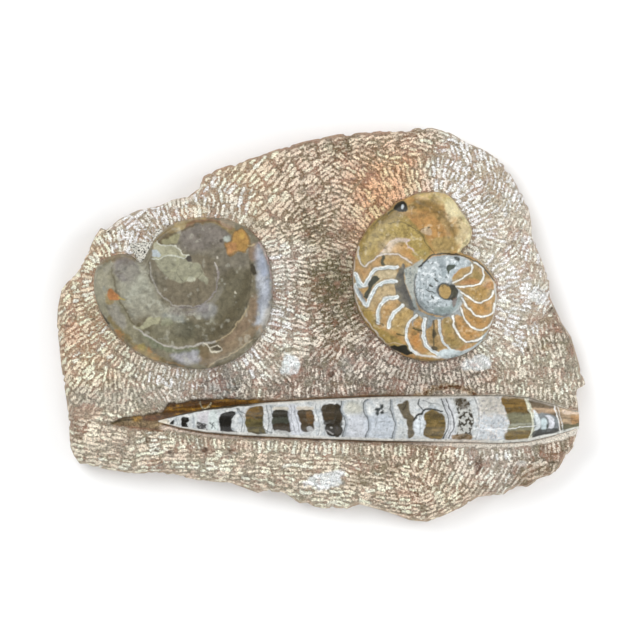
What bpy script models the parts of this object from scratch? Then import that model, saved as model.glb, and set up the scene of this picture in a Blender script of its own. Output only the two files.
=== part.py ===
"""Polished fossil plate: a slab of chiselled limestone that carries a goniatite, a chambered
ammonite and a straight orthoceras cone, each its own body set in a pocket of the slab.

The plate lies on its flat sawn back. X runs along the orthoceras, Y runs up the plate and Z
is up. The origin is on the back, under the middle of the plate. Sizes and places are in
millimetres here, and are turned to metres where a mesh is made.
"""

import math

import bmesh
import bpy
import numpy as np
from mathutils import Vector
from mathutils.geometry import delaunay_2d_cdt

MM = 0.001
SEED = 41

# Heights above the back
FIELD_Z = 28.0
SHOULDER_Z = 19.0
WIDEST_Z = 8.0
POCKET_FLOOR_Z = 16.0
FOSSIL_RIM_Z = 37.0
GONIATITE_FACE_Z = 44.5
AMMONITE_CREST_Z = 46.5
AMMONITE_SUTURE_Z = 44.0
CUTTER_TOP_Z = 70.0

# Clearance between a fossil and its pocket, how far a pocket wall leans in, and the chiselled
# collar that climbs to each coiled fossil
GAP = 0.35
WALL_LEAN = 2.6
COLLAR_DROP = 1.4
COLLAR_WIDTH = 17.0

# Mesh spacing
PLATE_SPACING = 6.7
PLATE_EDGE_SPACING = 7.0
BORDER_SPACING = 7.0
FOSSIL_SPACING = 5.2
FOSSIL_EDGE_SPACING = 4.4
FLANK_RINGS = (1.7, 4.6)

# Roughness of the chiselled top and of the broken sides, and the rounding of the top edge
CHISEL_DEPTH = 0.55
FRACTURE_DEPTH = 2.2
FRACTURE_RISE = 2.5
BASE_INSET = 2.5
EDGE_ROUND_DROP = 4.5
EDGE_ROUND_WIDTH = 18.0

# The broken edge of the slab at its widest, each point with the bevel up to the top rim
PLATE_EDGE = [
    (-82.5, 89.5, 4), (-88, 85, 4), (-98.5, 83, 4), (-107, 79, 4), (-121.5, 76, 4),
    (-134, 70, 4), (-143.5, 62, 4), (-146, 64.5, 4), (-150, 58.5, 4), (-156, 45.5, 4),
    (-166, 31.5, 5), (-172, 23.5, 6), (-174.5, 12.5, 6), (-175, -0.5, 6), (-172.5, -26.5, 6),
    (-168.5, -53, 5), (-167, -69.5, 5), (-166.5, -80, 6), (-164, -87, 8), (-160, -92, 9),
    (-142, -96, 9), (-126.5, -98.5, 9), (-106.5, -98.5, 9), (-82, -103, 9), (-59.5, -105, 9),
    (-42, -111.5, 9), (-38, -110, 9), (-25.5, -111.5, 9), (-14, -119, 10), (3, -122, 10),
    (17.5, -122, 10), (25.5, -119, 10), (43.5, -124, 10), (58.5, -129.5, 10), (70, -130.5, 10),
    (78.5, -127.5, 9), (93, -121, 8), (104, -114, 8), (121, -112.5, 8), (124.5, -109.5, 8),
    (137.5, -107.5, 7), (142.5, -104, 7), (156, -97.5, 6), (160, -90.5, 5), (167, -81, 4),
    (169, -72, 2), (171, -65.5, 1), (170, -53.5, 2), (169, -44.5, 3), (175, -39.5, 5),
    (171.5, -28.5, 5), (165.5, -8, 5), (159, 2, 5), (151.5, 18.5, 5), (151, 29.5, 5),
    (146.5, 41.5, 5), (142.5, 52, 4), (139, 68.5, 4), (137.5, 77, 4), (132.5, 87.5, 4),
    (125, 100.5, 4), (118.5, 109, 4), (110, 115, 4), (97.5, 120.5, 4), (85, 127.5, 4),
    (73.5, 130.5, 4), (63, 130.5, 4), (54.5, 128.5, 4), (42, 129, 4), (27, 127.5, 4),
    (11, 126.5, 4), (-11.5, 121.5, 4), (-27.5, 117, 4), (-49, 110, 4), (-69.5, 103, 4),
    (-78, 98.5, 4),
]

# The goniatite: its rim, the edge of its polished face, and the spiral suture on that face
GONIATITE_RIM = [
    (-118.5, 41), (-124.5, 45), (-132, 46.5), (-141.5, 43.5), (-147.5, 37.5), (-149.5, 27.5),
    (-148, 16.5), (-143, 4.5), (-135.5, -6), (-125, -15), (-111.5, -22.5), (-96.5, -27),
    (-80, -29), (-65.5, -26.5), (-52.5, -20), (-42.5, -10.5), (-36, 0.5), (-32.5, 13),
    (-32, 26.5), (-34, 40), (-38.5, 52), (-47, 62), (-58.5, 68), (-72, 70.5), (-86.5, 69.5),
    (-98.5, 65.5), (-108, 58), (-113, 50),
]
GONIATITE_FACE = [
    (-115.5, 36), (-110.5, 49), (-104.5, 58), (-93.5, 64), (-78.5, 65.5), (-65.5, 63),
    (-55, 57), (-48.5, 47), (-45.5, 33.5), (-46.5, 21), (-50.5, 8.5), (-57.5, -2), (-69, -10),
    (-82.5, -14), (-98.5, -12), (-113, -6.5), (-124.5, 1.5), (-133, 12.5), (-137.5, 24.5),
    (-137, 34.5), (-130, 40), (-121.5, 38),
]
GONIATITE_SUTURE = [
    (-112.3, 35.8), (-110.3, 27.9), (-105.5, 20.7), (-98.3, 14.7), (-90.3, 11.9),
    (-82.3, 12.3), (-74.3, 15.8), (-69.5, 21.5), (-67.1, 27.9), (-67.9, 35.8),
]
GONIATITE_EYE = (-87.3, 43.5)
GONIATITE_BULGE = 1.3
GONIATITE_GROOVE = 1.3

# The ammonite: its rim, the spiral suture that runs from the rim in to the umbilicus, and the
# groove and the lump at the broken mouth
AMMONITE_RIM = [
    (91.5, 48), (97, 54), (99, 61.5), (96, 68.5), (91.5, 75), (87, 82), (81.5, 86), (73.5, 87.5),
    (64, 86.5), (55, 83), (48, 79.5), (41.5, 73), (34, 67.5), (28, 59.5), (24, 51.5),
    (21.5, 41.5), (20.5, 31), (21.5, 21), (23.5, 11), (28, 2.5), (35.5, -6.5), (44.5, -14.5),
    (56, -21), (70, -24), (84.5, -22), (96, -18), (106, -10), (112, 1.5), (115, 15), (114, 29),
    (106.5, 39.5), (99.5, 44.5),
]
AMMONITE_SUTURE = [
    (88.5, 45.6), (82, 46.4), (75.3, 44.4), (68.2, 40.1), (63.2, 34.4), (61.1, 26.5),
    (61.7, 18.7), (65.3, 12.2), (71, 7.9), (78.2, 6.5), (84.6, 8.6), (88.9, 13.7), (90.4, 20.8),
]
AMMONITE_EYE = (81.4, 22.2)
AMMONITE_EYE_RADIUS = 5.4
AMMONITE_CREST_SHARE = 0.34
MOUTH_GROOVE = [(62.2, 80.2), (71.6, 76.8), (79.7, 71.5), (83.8, 65.4), (86.6, 58.5)]
MOUTH_GROOVE_WIDTH = 3.4
MOUTH_GROOVE_DEPTH = 1.9
MOUTH_LUMP = (91.6, 62.7)
MOUTH_LUMP_RADIUS = 5.2
MOUTH_LUMP_HEIGHT = 1.6

# The orthoceras: station along X, half width of the fossil, half width of the polished band
CONE_STATIONS = [
    (-139.5, 0.0, 0.3), (-125, 0.0, 3.3), (-107, 0.0, 6.4), (-93, 4.2, 9.0), (-76, 7.5, 11.0),
    (-55, 9.8, 12.3), (-36, 11.0, 13.3), (0, 13.0, 14.8), (40, 14.5, 16.0), (80, 15.0, 16.5),
    (118, 15.5, 17.0), (136, 14.3, 15.3), (153.5, 9.8, 12.2), (169.5, 4.5, 9.0),
]
CONE_TIP_X = -107.0
CONE_END_X = 169.5
BORDER_END_X = 161.0
CONE_AXIS_Y = -61.8
CONE_BOW = 2.5
CONE_BOW_CENTRE_X = 45.0
CONE_BOW_REACH = 185.0
CONE_AXIS_Z = 29.4
POLISH_AXIS_Z = 23.0
BORDER_Z = 29.0
BORDER_BLEND = 9.0
CONE_STEPS = 26
CONE_BEVEL_RESOLUTION = 8


def clear_scene():
    """Remove whatever the scene holds, so that only this object is in it."""
    for old in list(bpy.data.objects):
        bpy.data.objects.remove(old, do_unlink=True)


def make_collection(name, hidden=False):
    """A collection linked to the scene; the cutters' one isn't rendered."""
    collection = bpy.data.collections.new(name)
    collection.hide_render = hidden
    bpy.context.scene.collection.children.link(collection)
    return collection


def make_material(name, colour, roughness):
    """A plain Principled finish; the stone and the fossils have no metal."""
    material = bpy.data.materials.new(name)
    material.use_nodes = True
    shader = material.node_tree.nodes["Principled BSDF"]
    shader.inputs["Base Color"].default_value = (*colour, 1.0)
    shader.inputs["Roughness"].default_value = roughness
    shader.inputs["Metallic"].default_value = 0.0
    return material


def resample(path, spacing, closed):
    """Points at even steps along a path, close to the spacing."""
    steps = np.linalg.norm(np.diff(path, axis=0), axis=1)
    along = np.concatenate([[0], np.cumsum(steps)])
    spans = max(3, round(along[-1] / spacing))
    places = np.linspace(0, along[-1], spans, endpoint=False) if closed \
        else np.linspace(0, along[-1], spans + 1)
    return np.stack([np.interp(places, along, column) for column in path.T], 1)


def spline(points, spacing, closed=True):
    """A Catmull-Rom curve through the points, resampled at even steps near the spacing."""
    knots = np.array(points, float)
    if closed:
        spans = zip(np.roll(knots, 1, 0), knots, np.roll(knots, -1, 0), np.roll(knots, -2, 0))
    else:
        ends = np.vstack([2 * knots[0] - knots[1], knots, 2 * knots[-1] - knots[-2]])
        spans = zip(ends[:-3], ends[1:-2], ends[2:-1], ends[3:])
    dense = []
    for a, b, c, d in spans:
        for t in np.linspace(0, 1, 16, endpoint=False):
            dense.append(0.5 * (2 * b + (c - a) * t + (2 * a - 5 * b + 4 * c - d) * t ** 2
                                + (3 * b - a - 3 * c + d) * t ** 3))
    dense.append(knots[0] if closed else knots[-1])
    return resample(np.array(dense), spacing, closed)


def distance_to(path, points, closed=True):
    """The distance from each point to a path."""
    starts = path if closed else path[:-1]
    ends = np.roll(path, -1, 0) if closed else path[1:]
    nearest = np.full(len(points), np.inf)
    for a, b in zip(starts, ends):
        run = b - a
        share = np.clip((points - a) @ run / (run @ run), 0, 1)
        nearest = np.minimum(nearest, np.linalg.norm(points - a - share[:, None] * run, axis=1))
    return nearest


def inside(path, points):
    """Whether each point lies within a closed path, by the crossings of a ray along X."""
    found = np.zeros(len(points), bool)
    for a, b in zip(path, np.roll(path, -1, 0)):
        spans = (a[1] > points[:, 1]) != (b[1] > points[:, 1])
        if spans.any():
            cross = a[0] + (points[:, 1] - a[1]) * (b[0] - a[0]) / (b[1] - a[1])
            found ^= spans & (points[:, 0] < cross)
    return found


def grow(path, by):
    """A closed path moved outwards along its normals; a negative amount moves it inwards."""
    along = np.roll(path, -1, 0) - np.roll(path, 1, 0)
    normals = np.stack([along[:, 1], -along[:, 0]], 1)
    return path + by * normals / np.linalg.norm(normals, axis=1)[:, None]


def cone_half_widths(x):
    """Half widths of the fossil and of its polished band at places along X."""
    table = np.array(CONE_STATIONS)
    return np.interp(x, table[:, 0], table[:, 1]), np.interp(x, table[:, 0], table[:, 2])


def cone_centre_y(x):
    """The orthoceras lies on a line that bows very slightly."""
    return CONE_AXIS_Y - CONE_BOW * ((x - CONE_BOW_CENTRE_X) / CONE_BOW_REACH) ** 2


def polish_radius(x):
    """Radius of the surface that the polishing left, about its own low axis."""
    return np.hypot(BORDER_Z - POLISH_AXIS_Z, cone_half_widths(x)[1])


def cone_radius(x):
    """Radius of the shell itself, so that the polish cuts it at its half width."""
    half = cone_half_widths(x)[0]
    cut_z = POLISH_AXIS_Z + np.sqrt(np.maximum(polish_radius(x) ** 2 - half ** 2, 0))
    return np.hypot(half, cut_z - CONE_AXIS_Z)


def polish_height(points):
    """Height of the polished ridge, zero off it, and each point's distance outside it."""
    x, y = points[:, 0], points[:, 1]
    away = np.abs(y - cone_centre_y(x))
    ridge = POLISH_AXIS_Z + np.sqrt(np.maximum(polish_radius(x) ** 2 - away ** 2, 0))
    border = cone_half_widths(x)[1]
    past_tip = np.maximum(CONE_STATIONS[0][0] - x, 0)
    return np.where(away <= border, ridge, 0), np.hypot(np.maximum(away - border, 0), past_tip)


def plate_height(points):
    """The chiselled top: a gently rolling field, a collar round each coiled fossil, the
    polished ridge of the orthoceras, and a rounded edge."""
    x, y = points[:, 0], points[:, 1]
    field = FIELD_Z + 1.5 * np.sin(x / 41 + 1.3) * np.cos(y / 33 + 0.4) + np.sin(x / 23 - y / 29)
    ridge, off_ridge = polish_height(points)
    near = np.exp(-(off_ridge / BORDER_BLEND) ** 2)
    field = field * (1 - near) + BORDER_Z * near
    to_edge = distance_to(np.array(PLATE_EDGE, float)[:, :2], points)
    rounding = np.clip(1 - to_edge / EDGE_ROUND_WIDTH, 0, 1) ** 2
    field = field - EDGE_ROUND_DROP * rounding * (1 - near)
    for rim in (GONIATITE_RIM, AMMONITE_RIM):
        path = spline(rim, FOSSIL_EDGE_SPACING)
        away = np.where(inside(path, points), 0, distance_to(path, points))
        slope = np.clip(1 - away / COLLAR_WIDTH, 0, 1) ** 1.6
        field = field + np.maximum(FOSSIL_RIM_Z - COLLAR_DROP - field, 0) * slope
    return np.maximum(field, ridge)


def goniatite_height(points):
    """A flat polished face that bulges along the whorl, with a rounded flank down to the rim."""
    face = spline(GONIATITE_FACE, FOSSIL_EDGE_SPACING)
    to_face = distance_to(face, points)
    to_rim = distance_to(spline(GONIATITE_RIM, FOSSIL_EDGE_SPACING), points)
    on_face = inside(face, points)
    share = np.where(on_face, 1, to_rim / np.maximum(to_rim + to_face, MM))
    flank = FOSSIL_RIM_Z + (GONIATITE_FACE_Z - FOSSIL_RIM_Z) * np.sqrt(1 - (1 - share) ** 2)
    suture = distance_to(spline(GONIATITE_SUTURE, FOSSIL_SPACING, closed=False), points, False)
    eye = np.linalg.norm(points - np.array(GONIATITE_EYE), axis=1)
    bulge = GONIATITE_BULGE * np.clip(to_face / 16, 0, 1) ** 0.7
    groove = GONIATITE_GROOVE * (np.exp(-(suture / 3.2) ** 2) + 0.6 * np.exp(-(eye / 4) ** 2))
    return flank + np.where(on_face, bulge - groove, 0)


def ammonite_height(points):
    """Rounded whorls that meet at the spiral suture, a dimple at the umbilicus, and a groove
    and a lump where the mouth is broken."""
    to_rim = distance_to(spline(AMMONITE_RIM, FOSSIL_EDGE_SPACING), points)
    to_suture = distance_to(spline(AMMONITE_SUTURE, FOSSIL_SPACING, False), points, False)
    share = to_suture / np.maximum(to_suture + to_rim, MM)
    fall = np.clip((share - AMMONITE_CREST_SHARE) / (1 - AMMONITE_CREST_SHARE), 0, 1)
    rise = np.clip(1 - share / AMMONITE_CREST_SHARE, 0, 1)
    height = FOSSIL_RIM_Z + (AMMONITE_CREST_Z - FOSSIL_RIM_Z) * (1 - fall ** 2.6) ** (1 / 2.6)
    height = height - (AMMONITE_CREST_Z - AMMONITE_SUTURE_Z) * rise ** 1.6
    from_eye = np.linalg.norm(points - np.array(AMMONITE_EYE), axis=1)
    height = height - 1.6 * np.exp(-(from_eye / AMMONITE_EYE_RADIUS) ** 4)
    groove = distance_to(np.array(MOUTH_GROOVE), points, closed=False)
    height = height - MOUTH_GROOVE_DEPTH * np.exp(-(groove / MOUTH_GROOVE_WIDTH) ** 2)
    from_lump = np.linalg.norm(points - np.array(MOUTH_LUMP), axis=1)
    return height + MOUTH_LUMP_HEIGHT * np.exp(-(from_lump / MOUTH_LUMP_RADIUS) ** 4)


def shaken_grid(path, spacing, random):
    """Points on a staggered grid over a closed path, each lightly shaken."""
    low, high = path.min(0), path.max(0)
    points = []
    for number, y in enumerate(np.arange(low[1], high[1], spacing * math.sqrt(0.75))):
        shift = spacing / 2 * (number % 2)
        points += [(x, y) for x in np.arange(low[0] + shift, high[0], spacing)]
    return np.array(points) + random.uniform(-0.16, 0.16, (len(points), 2)) * spacing


def clear_of(points, path, creases, rim_clearance, crease_clearance):
    """The points that lie inside a closed path, clear of it and of the creases."""
    keep = inside(path, points) & (distance_to(path, points) > rim_clearance)
    for crease, closed in creases:
        keep &= distance_to(crease, points, closed) > crease_clearance
    return points[keep]


def top_points(rim, spacing, creases, flank_rings, random):
    """The free points of a top: even rings just inside its rim, then a shaken grid."""
    rings = [rim]
    for inset in flank_rings:
        ring = clear_of(grow(rim, -inset), rim, creases, inset * 0.8, spacing * 0.45)
        rings.append(ring)
    taken = np.vstack(rings)
    grid = clear_of(shaken_grid(rim, spacing, random), rim, creases, 0, spacing * 0.45)
    nearest = np.array([np.linalg.norm(taken - point, axis=1).min() for point in grid])
    reach = max([spacing * 0.5, *flank_rings])
    free = (nearest > spacing * 0.6) & (distance_to(rim, grid) > reach)
    return np.vstack([*rings[1:], grid[free]])


def relief_solid(name, collection, rings, height, spacing, creases=(), flank_rings=(),
                 roughness=0.0):
    """A closed solid: a top that follows a height function inside the first ring, walls
    lofted down through the rings, and a flat floor.

    Each ring is its plan points and their heights. The top rim takes its heights from the
    height function. A crease is a line of the top that its triangles keep to.
    """
    random = np.random.default_rng(SEED)
    rim = rings[0][0]
    sheets = [rim, top_points(rim, spacing, creases, flank_rings, random)]
    edges = []
    for crease, closed in creases:
        first = sum(len(sheet) for sheet in sheets)
        count = len(crease)
        links = count if closed else count - 1
        edges += [(first + i, first + (i + 1) % count) for i in range(links)]
        sheets.append(crease)
    flat = [Vector(point) for point in np.vstack(sheets)]
    outline = [list(range(len(rim)))]
    spots, _, faces, sources, _, _ = delaunay_2d_cdt(flat, edges, outline, 1, 1e-5, True)
    spots = np.array([tuple(spot) for spot in spots])
    on_rim = {old: new for new, olds in enumerate(sources) for old in olds if old < len(rim)}
    shake = roughness * random.uniform(-1, 1, len(spots))
    shake[list(on_rim.values())] = 0
    tops = height(spots) + shake

    mesh = bmesh.new()
    cap = [mesh.verts.new((x * MM, y * MM, z * MM)) for (x, y), z in zip(spots, tops)]
    middles = np.array([spots[face].mean(0) for face in faces])
    for face, within in zip(faces, inside(rim, middles)):
        if within:
            mesh.faces.new([cap[i] for i in face])
    upper = [cap[on_rim[i]] for i in range(len(rim))]
    for points, heights in rings[1:]:
        lower = [mesh.verts.new((x * MM, y * MM, z * MM)) for (x, y), z in zip(points, heights)]
        for i, j in zip(range(len(rim)), np.roll(range(len(rim)), -1)):
            mesh.faces.new((upper[i], lower[i], lower[j], upper[j]))
        upper = lower
    mesh.faces.new(upper)
    bmesh.ops.recalc_face_normals(mesh, faces=mesh.faces)
    return make_object(name, collection, mesh)


def make_object(name, collection, mesh):
    """The object for a finished bmesh."""
    data = bpy.data.meshes.new(name)
    mesh.to_mesh(data)
    mesh.free()
    made = bpy.data.objects.new(name, data)
    collection.objects.link(made)
    return made


def level(ring, z):
    """A ring at one height."""
    return ring, np.full(len(ring), z)


def make_coiled_fossil(name, rim, height, creases, parts, cutters):
    """A coiled fossil whose walls lean in below its rim, and the pocket that takes it."""
    path = spline(rim, FOSSIL_EDGE_SPACING)
    middle_z = (FOSSIL_RIM_Z + POCKET_FLOOR_Z) / 2
    fossil = relief_solid(name, parts, [
        level(path, FOSSIL_RIM_Z),
        level(grow(path, -WALL_LEAN / 4), middle_z),
        level(grow(path, -WALL_LEAN), POCKET_FLOOR_Z),
    ], height, FOSSIL_SPACING, creases, FLANK_RINGS)
    pocket = relief_solid(name + "_pocket", cutters, [
        level(grow(path, GAP), CUTTER_TOP_Z),
        level(grow(path, GAP), FOSSIL_RIM_Z),
        level(grow(path, GAP - WALL_LEAN / 4), middle_z),
        level(grow(path, GAP - WALL_LEAN), POCKET_FLOOR_Z - GAP),
    ], lambda points: np.full(len(points), CUTTER_TOP_Z), 4 * FOSSIL_SPACING)
    return fossil, pocket


def tapered_tube(name, collection, stations, radii, axis_z):
    """A round body of changing radius along the line of the orthoceras, as a closed mesh."""
    data = bpy.data.curves.new(name, "CURVE")
    data.dimensions = "3D"
    data.bevel_depth = MM
    data.bevel_resolution = CONE_BEVEL_RESOLUTION
    data.use_fill_caps = True
    line = data.splines.new("POLY")
    line.points.add(len(stations) - 1)
    for point, x, radius in zip(line.points, stations, radii):
        point.co = (x * MM, cone_centre_y(x) * MM, axis_z * MM, 1)
        point.radius = radius
    curve = bpy.data.objects.new(name + "_curve", data)
    collection.objects.link(curve)
    bpy.context.view_layer.update()
    evaluated = curve.evaluated_get(bpy.context.evaluated_depsgraph_get())
    mesh = bmesh.new()
    mesh.from_mesh(bpy.data.meshes.new_from_object(evaluated))
    bpy.data.objects.remove(curve)
    bmesh.ops.remove_doubles(mesh, verts=mesh.verts, dist=MM / 1000)
    bmesh.ops.recalc_face_normals(mesh, faces=mesh.faces)
    return make_object(name, collection, mesh)


def cut(target, cutter, operation="DIFFERENCE"):
    """A Boolean that stays on its object; the cutter is shown as a wire and isn't rendered."""
    modifier = target.modifiers.new(operation.lower() + "_" + cutter.name, "BOOLEAN")
    modifier.operation = operation
    modifier.solver = "EXACT"
    modifier.object = cutter
    cutter.hide_render = True
    cutter.display_type = "WIRE"


def make_orthoceras(parts, cutters):
    """The shell cone, cut down by the polished surface, and the bed that it lies in."""
    stations = np.linspace(CONE_TIP_X, CONE_END_X, CONE_STEPS)
    radii = cone_radius(stations)
    cone = tapered_tube("orthoceras", parts, stations, radii, CONE_AXIS_Z)
    beyond = np.linspace(CONE_TIP_X - 12, CONE_END_X + 12, CONE_STEPS)
    polish = tapered_tube("polish_envelope", cutters, beyond, polish_radius(beyond),
                          POLISH_AXIS_Z)
    cut(cone, polish, "INTERSECT")
    bed_stations = [CONE_TIP_X - GAP, *stations, CONE_END_X + 10]
    bed_radii = [radii[0] + GAP, *(radii + GAP), radii[-1] + GAP]
    bed = tapered_tube("orthoceras_bed", cutters, bed_stations, bed_radii, CONE_AXIS_Z)
    return cone, bed


def polished_border():
    """The line that bounds the polished ridge on the plate, round its tip from side to side."""
    x = np.arange(BORDER_END_X, CONE_STATIONS[0][0] + 2, -BORDER_SPACING)
    half = cone_half_widths(x)[1]
    centre = cone_centre_y(x)
    upper = np.stack([x, centre + half], 1)
    lower = np.stack([x, centre - half], 1)[::-1]
    tip_x = CONE_STATIONS[0][0]
    return np.vstack([upper, [(tip_x, cone_centre_y(tip_x))], lower])


def broken(count, depth, random):
    """Uneven amounts round a closed edge, with lumps a few points long and smaller chips."""
    loose = random.uniform(-1, 1, count)
    lumps = (np.roll(loose, -1) + 2 * loose + np.roll(loose, 1)) / 4
    return depth * (lumps + 0.4 * random.uniform(-1, 1, count))


def make_plate(parts):
    """The slab before its pockets are cut: a loft from the sawn back to the top rim."""
    edge = np.array([*PLATE_EDGE, PLATE_EDGE[0]], float)
    edge = resample(edge, PLATE_EDGE_SPACING, True)
    widest, bevel = edge[:, :2], edge[:, 2]
    reach = np.linalg.norm(widest, axis=1)
    random = np.random.default_rng(SEED + 1)

    def inset(amounts):
        return widest * (1 - np.maximum(amounts, 0) / reach)[:, None]

    count = len(widest)
    shoulder_inset = bevel * 0.4 + broken(count, FRACTURE_DEPTH, random)
    return relief_solid("matrix_plate", parts, [
        level(inset(bevel + broken(count, FRACTURE_DEPTH / 3, random)), FIELD_Z),
        (inset(shoulder_inset), SHOULDER_Z + broken(count, FRACTURE_RISE, random)),
        (widest, WIDEST_Z + broken(count, FRACTURE_RISE, random)),
        level(inset(BASE_INSET + broken(count, FRACTURE_DEPTH / 2, random)), 0),
    ], plate_height, PLATE_SPACING, [(polished_border(), False)], roughness=CHISEL_DEPTH)


def main():
    """Build the slab, the three fossils and the pockets between them."""
    clear_scene()
    parts = make_collection("ammonite_cluster_plate")
    cutters = make_collection("cutters", hidden=True)

    plate = make_plate(parts)
    goniatite, goniatite_pocket = make_coiled_fossil(
        "goniatite", GONIATITE_RIM, goniatite_height, [
            (spline(GONIATITE_FACE, FOSSIL_EDGE_SPACING), True),
            (spline(GONIATITE_SUTURE, FOSSIL_SPACING, closed=False), False),
        ], parts, cutters)
    ammonite, ammonite_pocket = make_coiled_fossil(
        "ammonite", AMMONITE_RIM, ammonite_height, [
            (spline(AMMONITE_SUTURE, FOSSIL_SPACING, closed=False), False),
            (np.array(MOUTH_GROOVE), False),
        ], parts, cutters)
    orthoceras, orthoceras_bed = make_orthoceras(parts, cutters)
    for pocket in (goniatite_pocket, ammonite_pocket, orthoceras_bed):
        cut(plate, pocket)

    finishes = (
        (plate, "chiselled_limestone", (0.52, 0.40, 0.33), 0.85),
        (goniatite, "grey_brown_calcite", (0.30, 0.28, 0.24), 0.25),
        (ammonite, "amber_and_white_calcite", (0.62, 0.43, 0.22), 0.25),
        (orthoceras, "white_and_brown_calcite", (0.66, 0.64, 0.60), 0.2),
    )
    for made, name, colour, roughness in finishes:
        made.data.materials.append(make_material(name, colour, roughness))


main()
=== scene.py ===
"""Looks of the fossil plate: a slab of chiselled limestone that carries a polished goniatite,
an ammonite cut through its chambers and a straight orthoceras cone.

Sizes and places are in millimetres, in the plate's own frame: X runs along the orthoceras, Y
runs up the plate and Z is up from the sawn back. They are turned to metres where a mesh is
made. Colours are given as they look on a screen, from 0 to 255, and are turned to linear
light where they are used.
"""

import logging
import math
from collections.abc import Callable
from dataclasses import dataclass, field
from enum import Enum

import bpy
import numpy as np
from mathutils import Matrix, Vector
from mathutils.geometry import delaunay_2d_cdt
from mathutils.kdtree import KDTree


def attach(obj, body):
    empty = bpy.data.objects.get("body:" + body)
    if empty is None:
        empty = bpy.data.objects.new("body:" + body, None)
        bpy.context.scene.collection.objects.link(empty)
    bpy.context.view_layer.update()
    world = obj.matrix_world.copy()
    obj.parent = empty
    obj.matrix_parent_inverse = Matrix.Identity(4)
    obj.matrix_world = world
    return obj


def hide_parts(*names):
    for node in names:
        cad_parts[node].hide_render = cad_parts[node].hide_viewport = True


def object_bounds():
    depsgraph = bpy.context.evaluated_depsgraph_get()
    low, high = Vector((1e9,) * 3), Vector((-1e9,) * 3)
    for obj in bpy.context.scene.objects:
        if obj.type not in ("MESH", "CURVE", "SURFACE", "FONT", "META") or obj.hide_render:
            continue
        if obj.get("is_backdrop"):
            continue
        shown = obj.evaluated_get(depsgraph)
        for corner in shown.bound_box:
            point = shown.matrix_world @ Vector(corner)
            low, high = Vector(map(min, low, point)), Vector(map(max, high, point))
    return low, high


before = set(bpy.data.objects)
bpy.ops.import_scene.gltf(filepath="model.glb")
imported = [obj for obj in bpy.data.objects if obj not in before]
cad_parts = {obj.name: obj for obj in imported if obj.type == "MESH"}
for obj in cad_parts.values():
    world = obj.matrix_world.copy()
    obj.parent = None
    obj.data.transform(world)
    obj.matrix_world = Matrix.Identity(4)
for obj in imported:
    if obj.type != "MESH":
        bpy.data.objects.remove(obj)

log = logging.getLogger("fossil_plate")

MM = 0.001
TINY = 0.001
SEED = 41

# The share of the light that a surface sends back, against its colour on the screen, for the
# studio's light is bright enough to keep the floor white
ALBEDO = 0.84

Colour = tuple[float, float, float]
Place = tuple[float, float]

# Heights above the back
FIELD_Z = 28.0
SHOULDER_Z = 19.0
WIDEST_Z = 8.0
POCKET_FLOOR_Z = 16.0
FOSSIL_RIM_Z = 37.0
GONIATITE_FACE_Z = 44.5
AMMONITE_CREST_Z = 46.5
AMMONITE_SUTURE_Z = 44.0

# Clearance between a fossil and its pocket, the seam that shows round a coiled fossil, the
# lean of a pocket wall at its foot and where it is half way down, and the collars
GAP = 0.35
SEAM = 0.08
WALL_LEAN = 2.6
WALL_BREAK = WALL_LEAN / 4
COLLAR_DROP = 1.4
COLLAR_WIDTH = 17.0

# The slab's edge: how far the back is drawn in, the rounding of the top, and the least that
# the broken side stays within the widest edge
BASE_INSET = 2.5
EDGE_ROUND_DROP = 4.5
EDGE_ROUND_WIDTH = 18.0
EDGE_EASE = 0.2

# The highest place that the polishing left on a fossil
POLISH_TOP_Z = 47.12

# The broken edge of the slab at its widest, each point with the bevel up to the top rim
PLATE_EDGE = [
    (-82.5, 89.5, 4), (-88, 85, 4), (-98.5, 83, 4), (-107, 79, 4), (-121.5, 76, 4),
    (-134, 70, 4), (-143.5, 62, 4), (-146, 64.5, 4), (-150, 58.5, 4), (-156, 45.5, 4),
    (-166, 31.5, 5), (-172, 23.5, 6), (-174.5, 12.5, 6), (-175, -0.5, 6), (-172.5, -26.5, 6),
    (-168.5, -53, 5), (-167, -69.5, 5), (-166.5, -80, 6), (-164, -87, 8), (-160, -92, 9),
    (-142, -96, 9), (-126.5, -98.5, 9), (-106.5, -98.5, 9), (-82, -103, 9), (-59.5, -105, 9),
    (-42, -111.5, 9), (-38, -110, 9), (-25.5, -111.5, 9), (-14, -119, 10), (3, -122, 10),
    (17.5, -122, 10), (25.5, -119, 10), (43.5, -124, 10), (58.5, -129.5, 10), (70, -130.5, 10),
    (78.5, -127.5, 9), (93, -121, 8), (104, -114, 8), (121, -112.5, 8), (124.5, -109.5, 8),
    (137.5, -107.5, 7), (142.5, -104, 7), (156, -97.5, 6), (160, -90.5, 5), (167, -81, 4),
    (169, -72, 2), (171, -65.5, 1), (170, -53.5, 2), (169, -44.5, 3), (175, -39.5, 5),
    (171.5, -28.5, 5), (165.5, -8, 5), (159, 2, 5), (151.5, 18.5, 5), (151, 29.5, 5),
    (146.5, 41.5, 5), (142.5, 52, 4), (139, 68.5, 4), (137.5, 77, 4), (132.5, 87.5, 4),
    (125, 100.5, 4), (118.5, 109, 4), (110, 115, 4), (97.5, 120.5, 4), (85, 127.5, 4),
    (73.5, 130.5, 4), (63, 130.5, 4), (54.5, 128.5, 4), (42, 129, 4), (27, 127.5, 4),
    (11, 126.5, 4), (-11.5, 121.5, 4), (-27.5, 117, 4), (-49, 110, 4), (-69.5, 103, 4),
    (-78, 98.5, 4),
]

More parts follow.
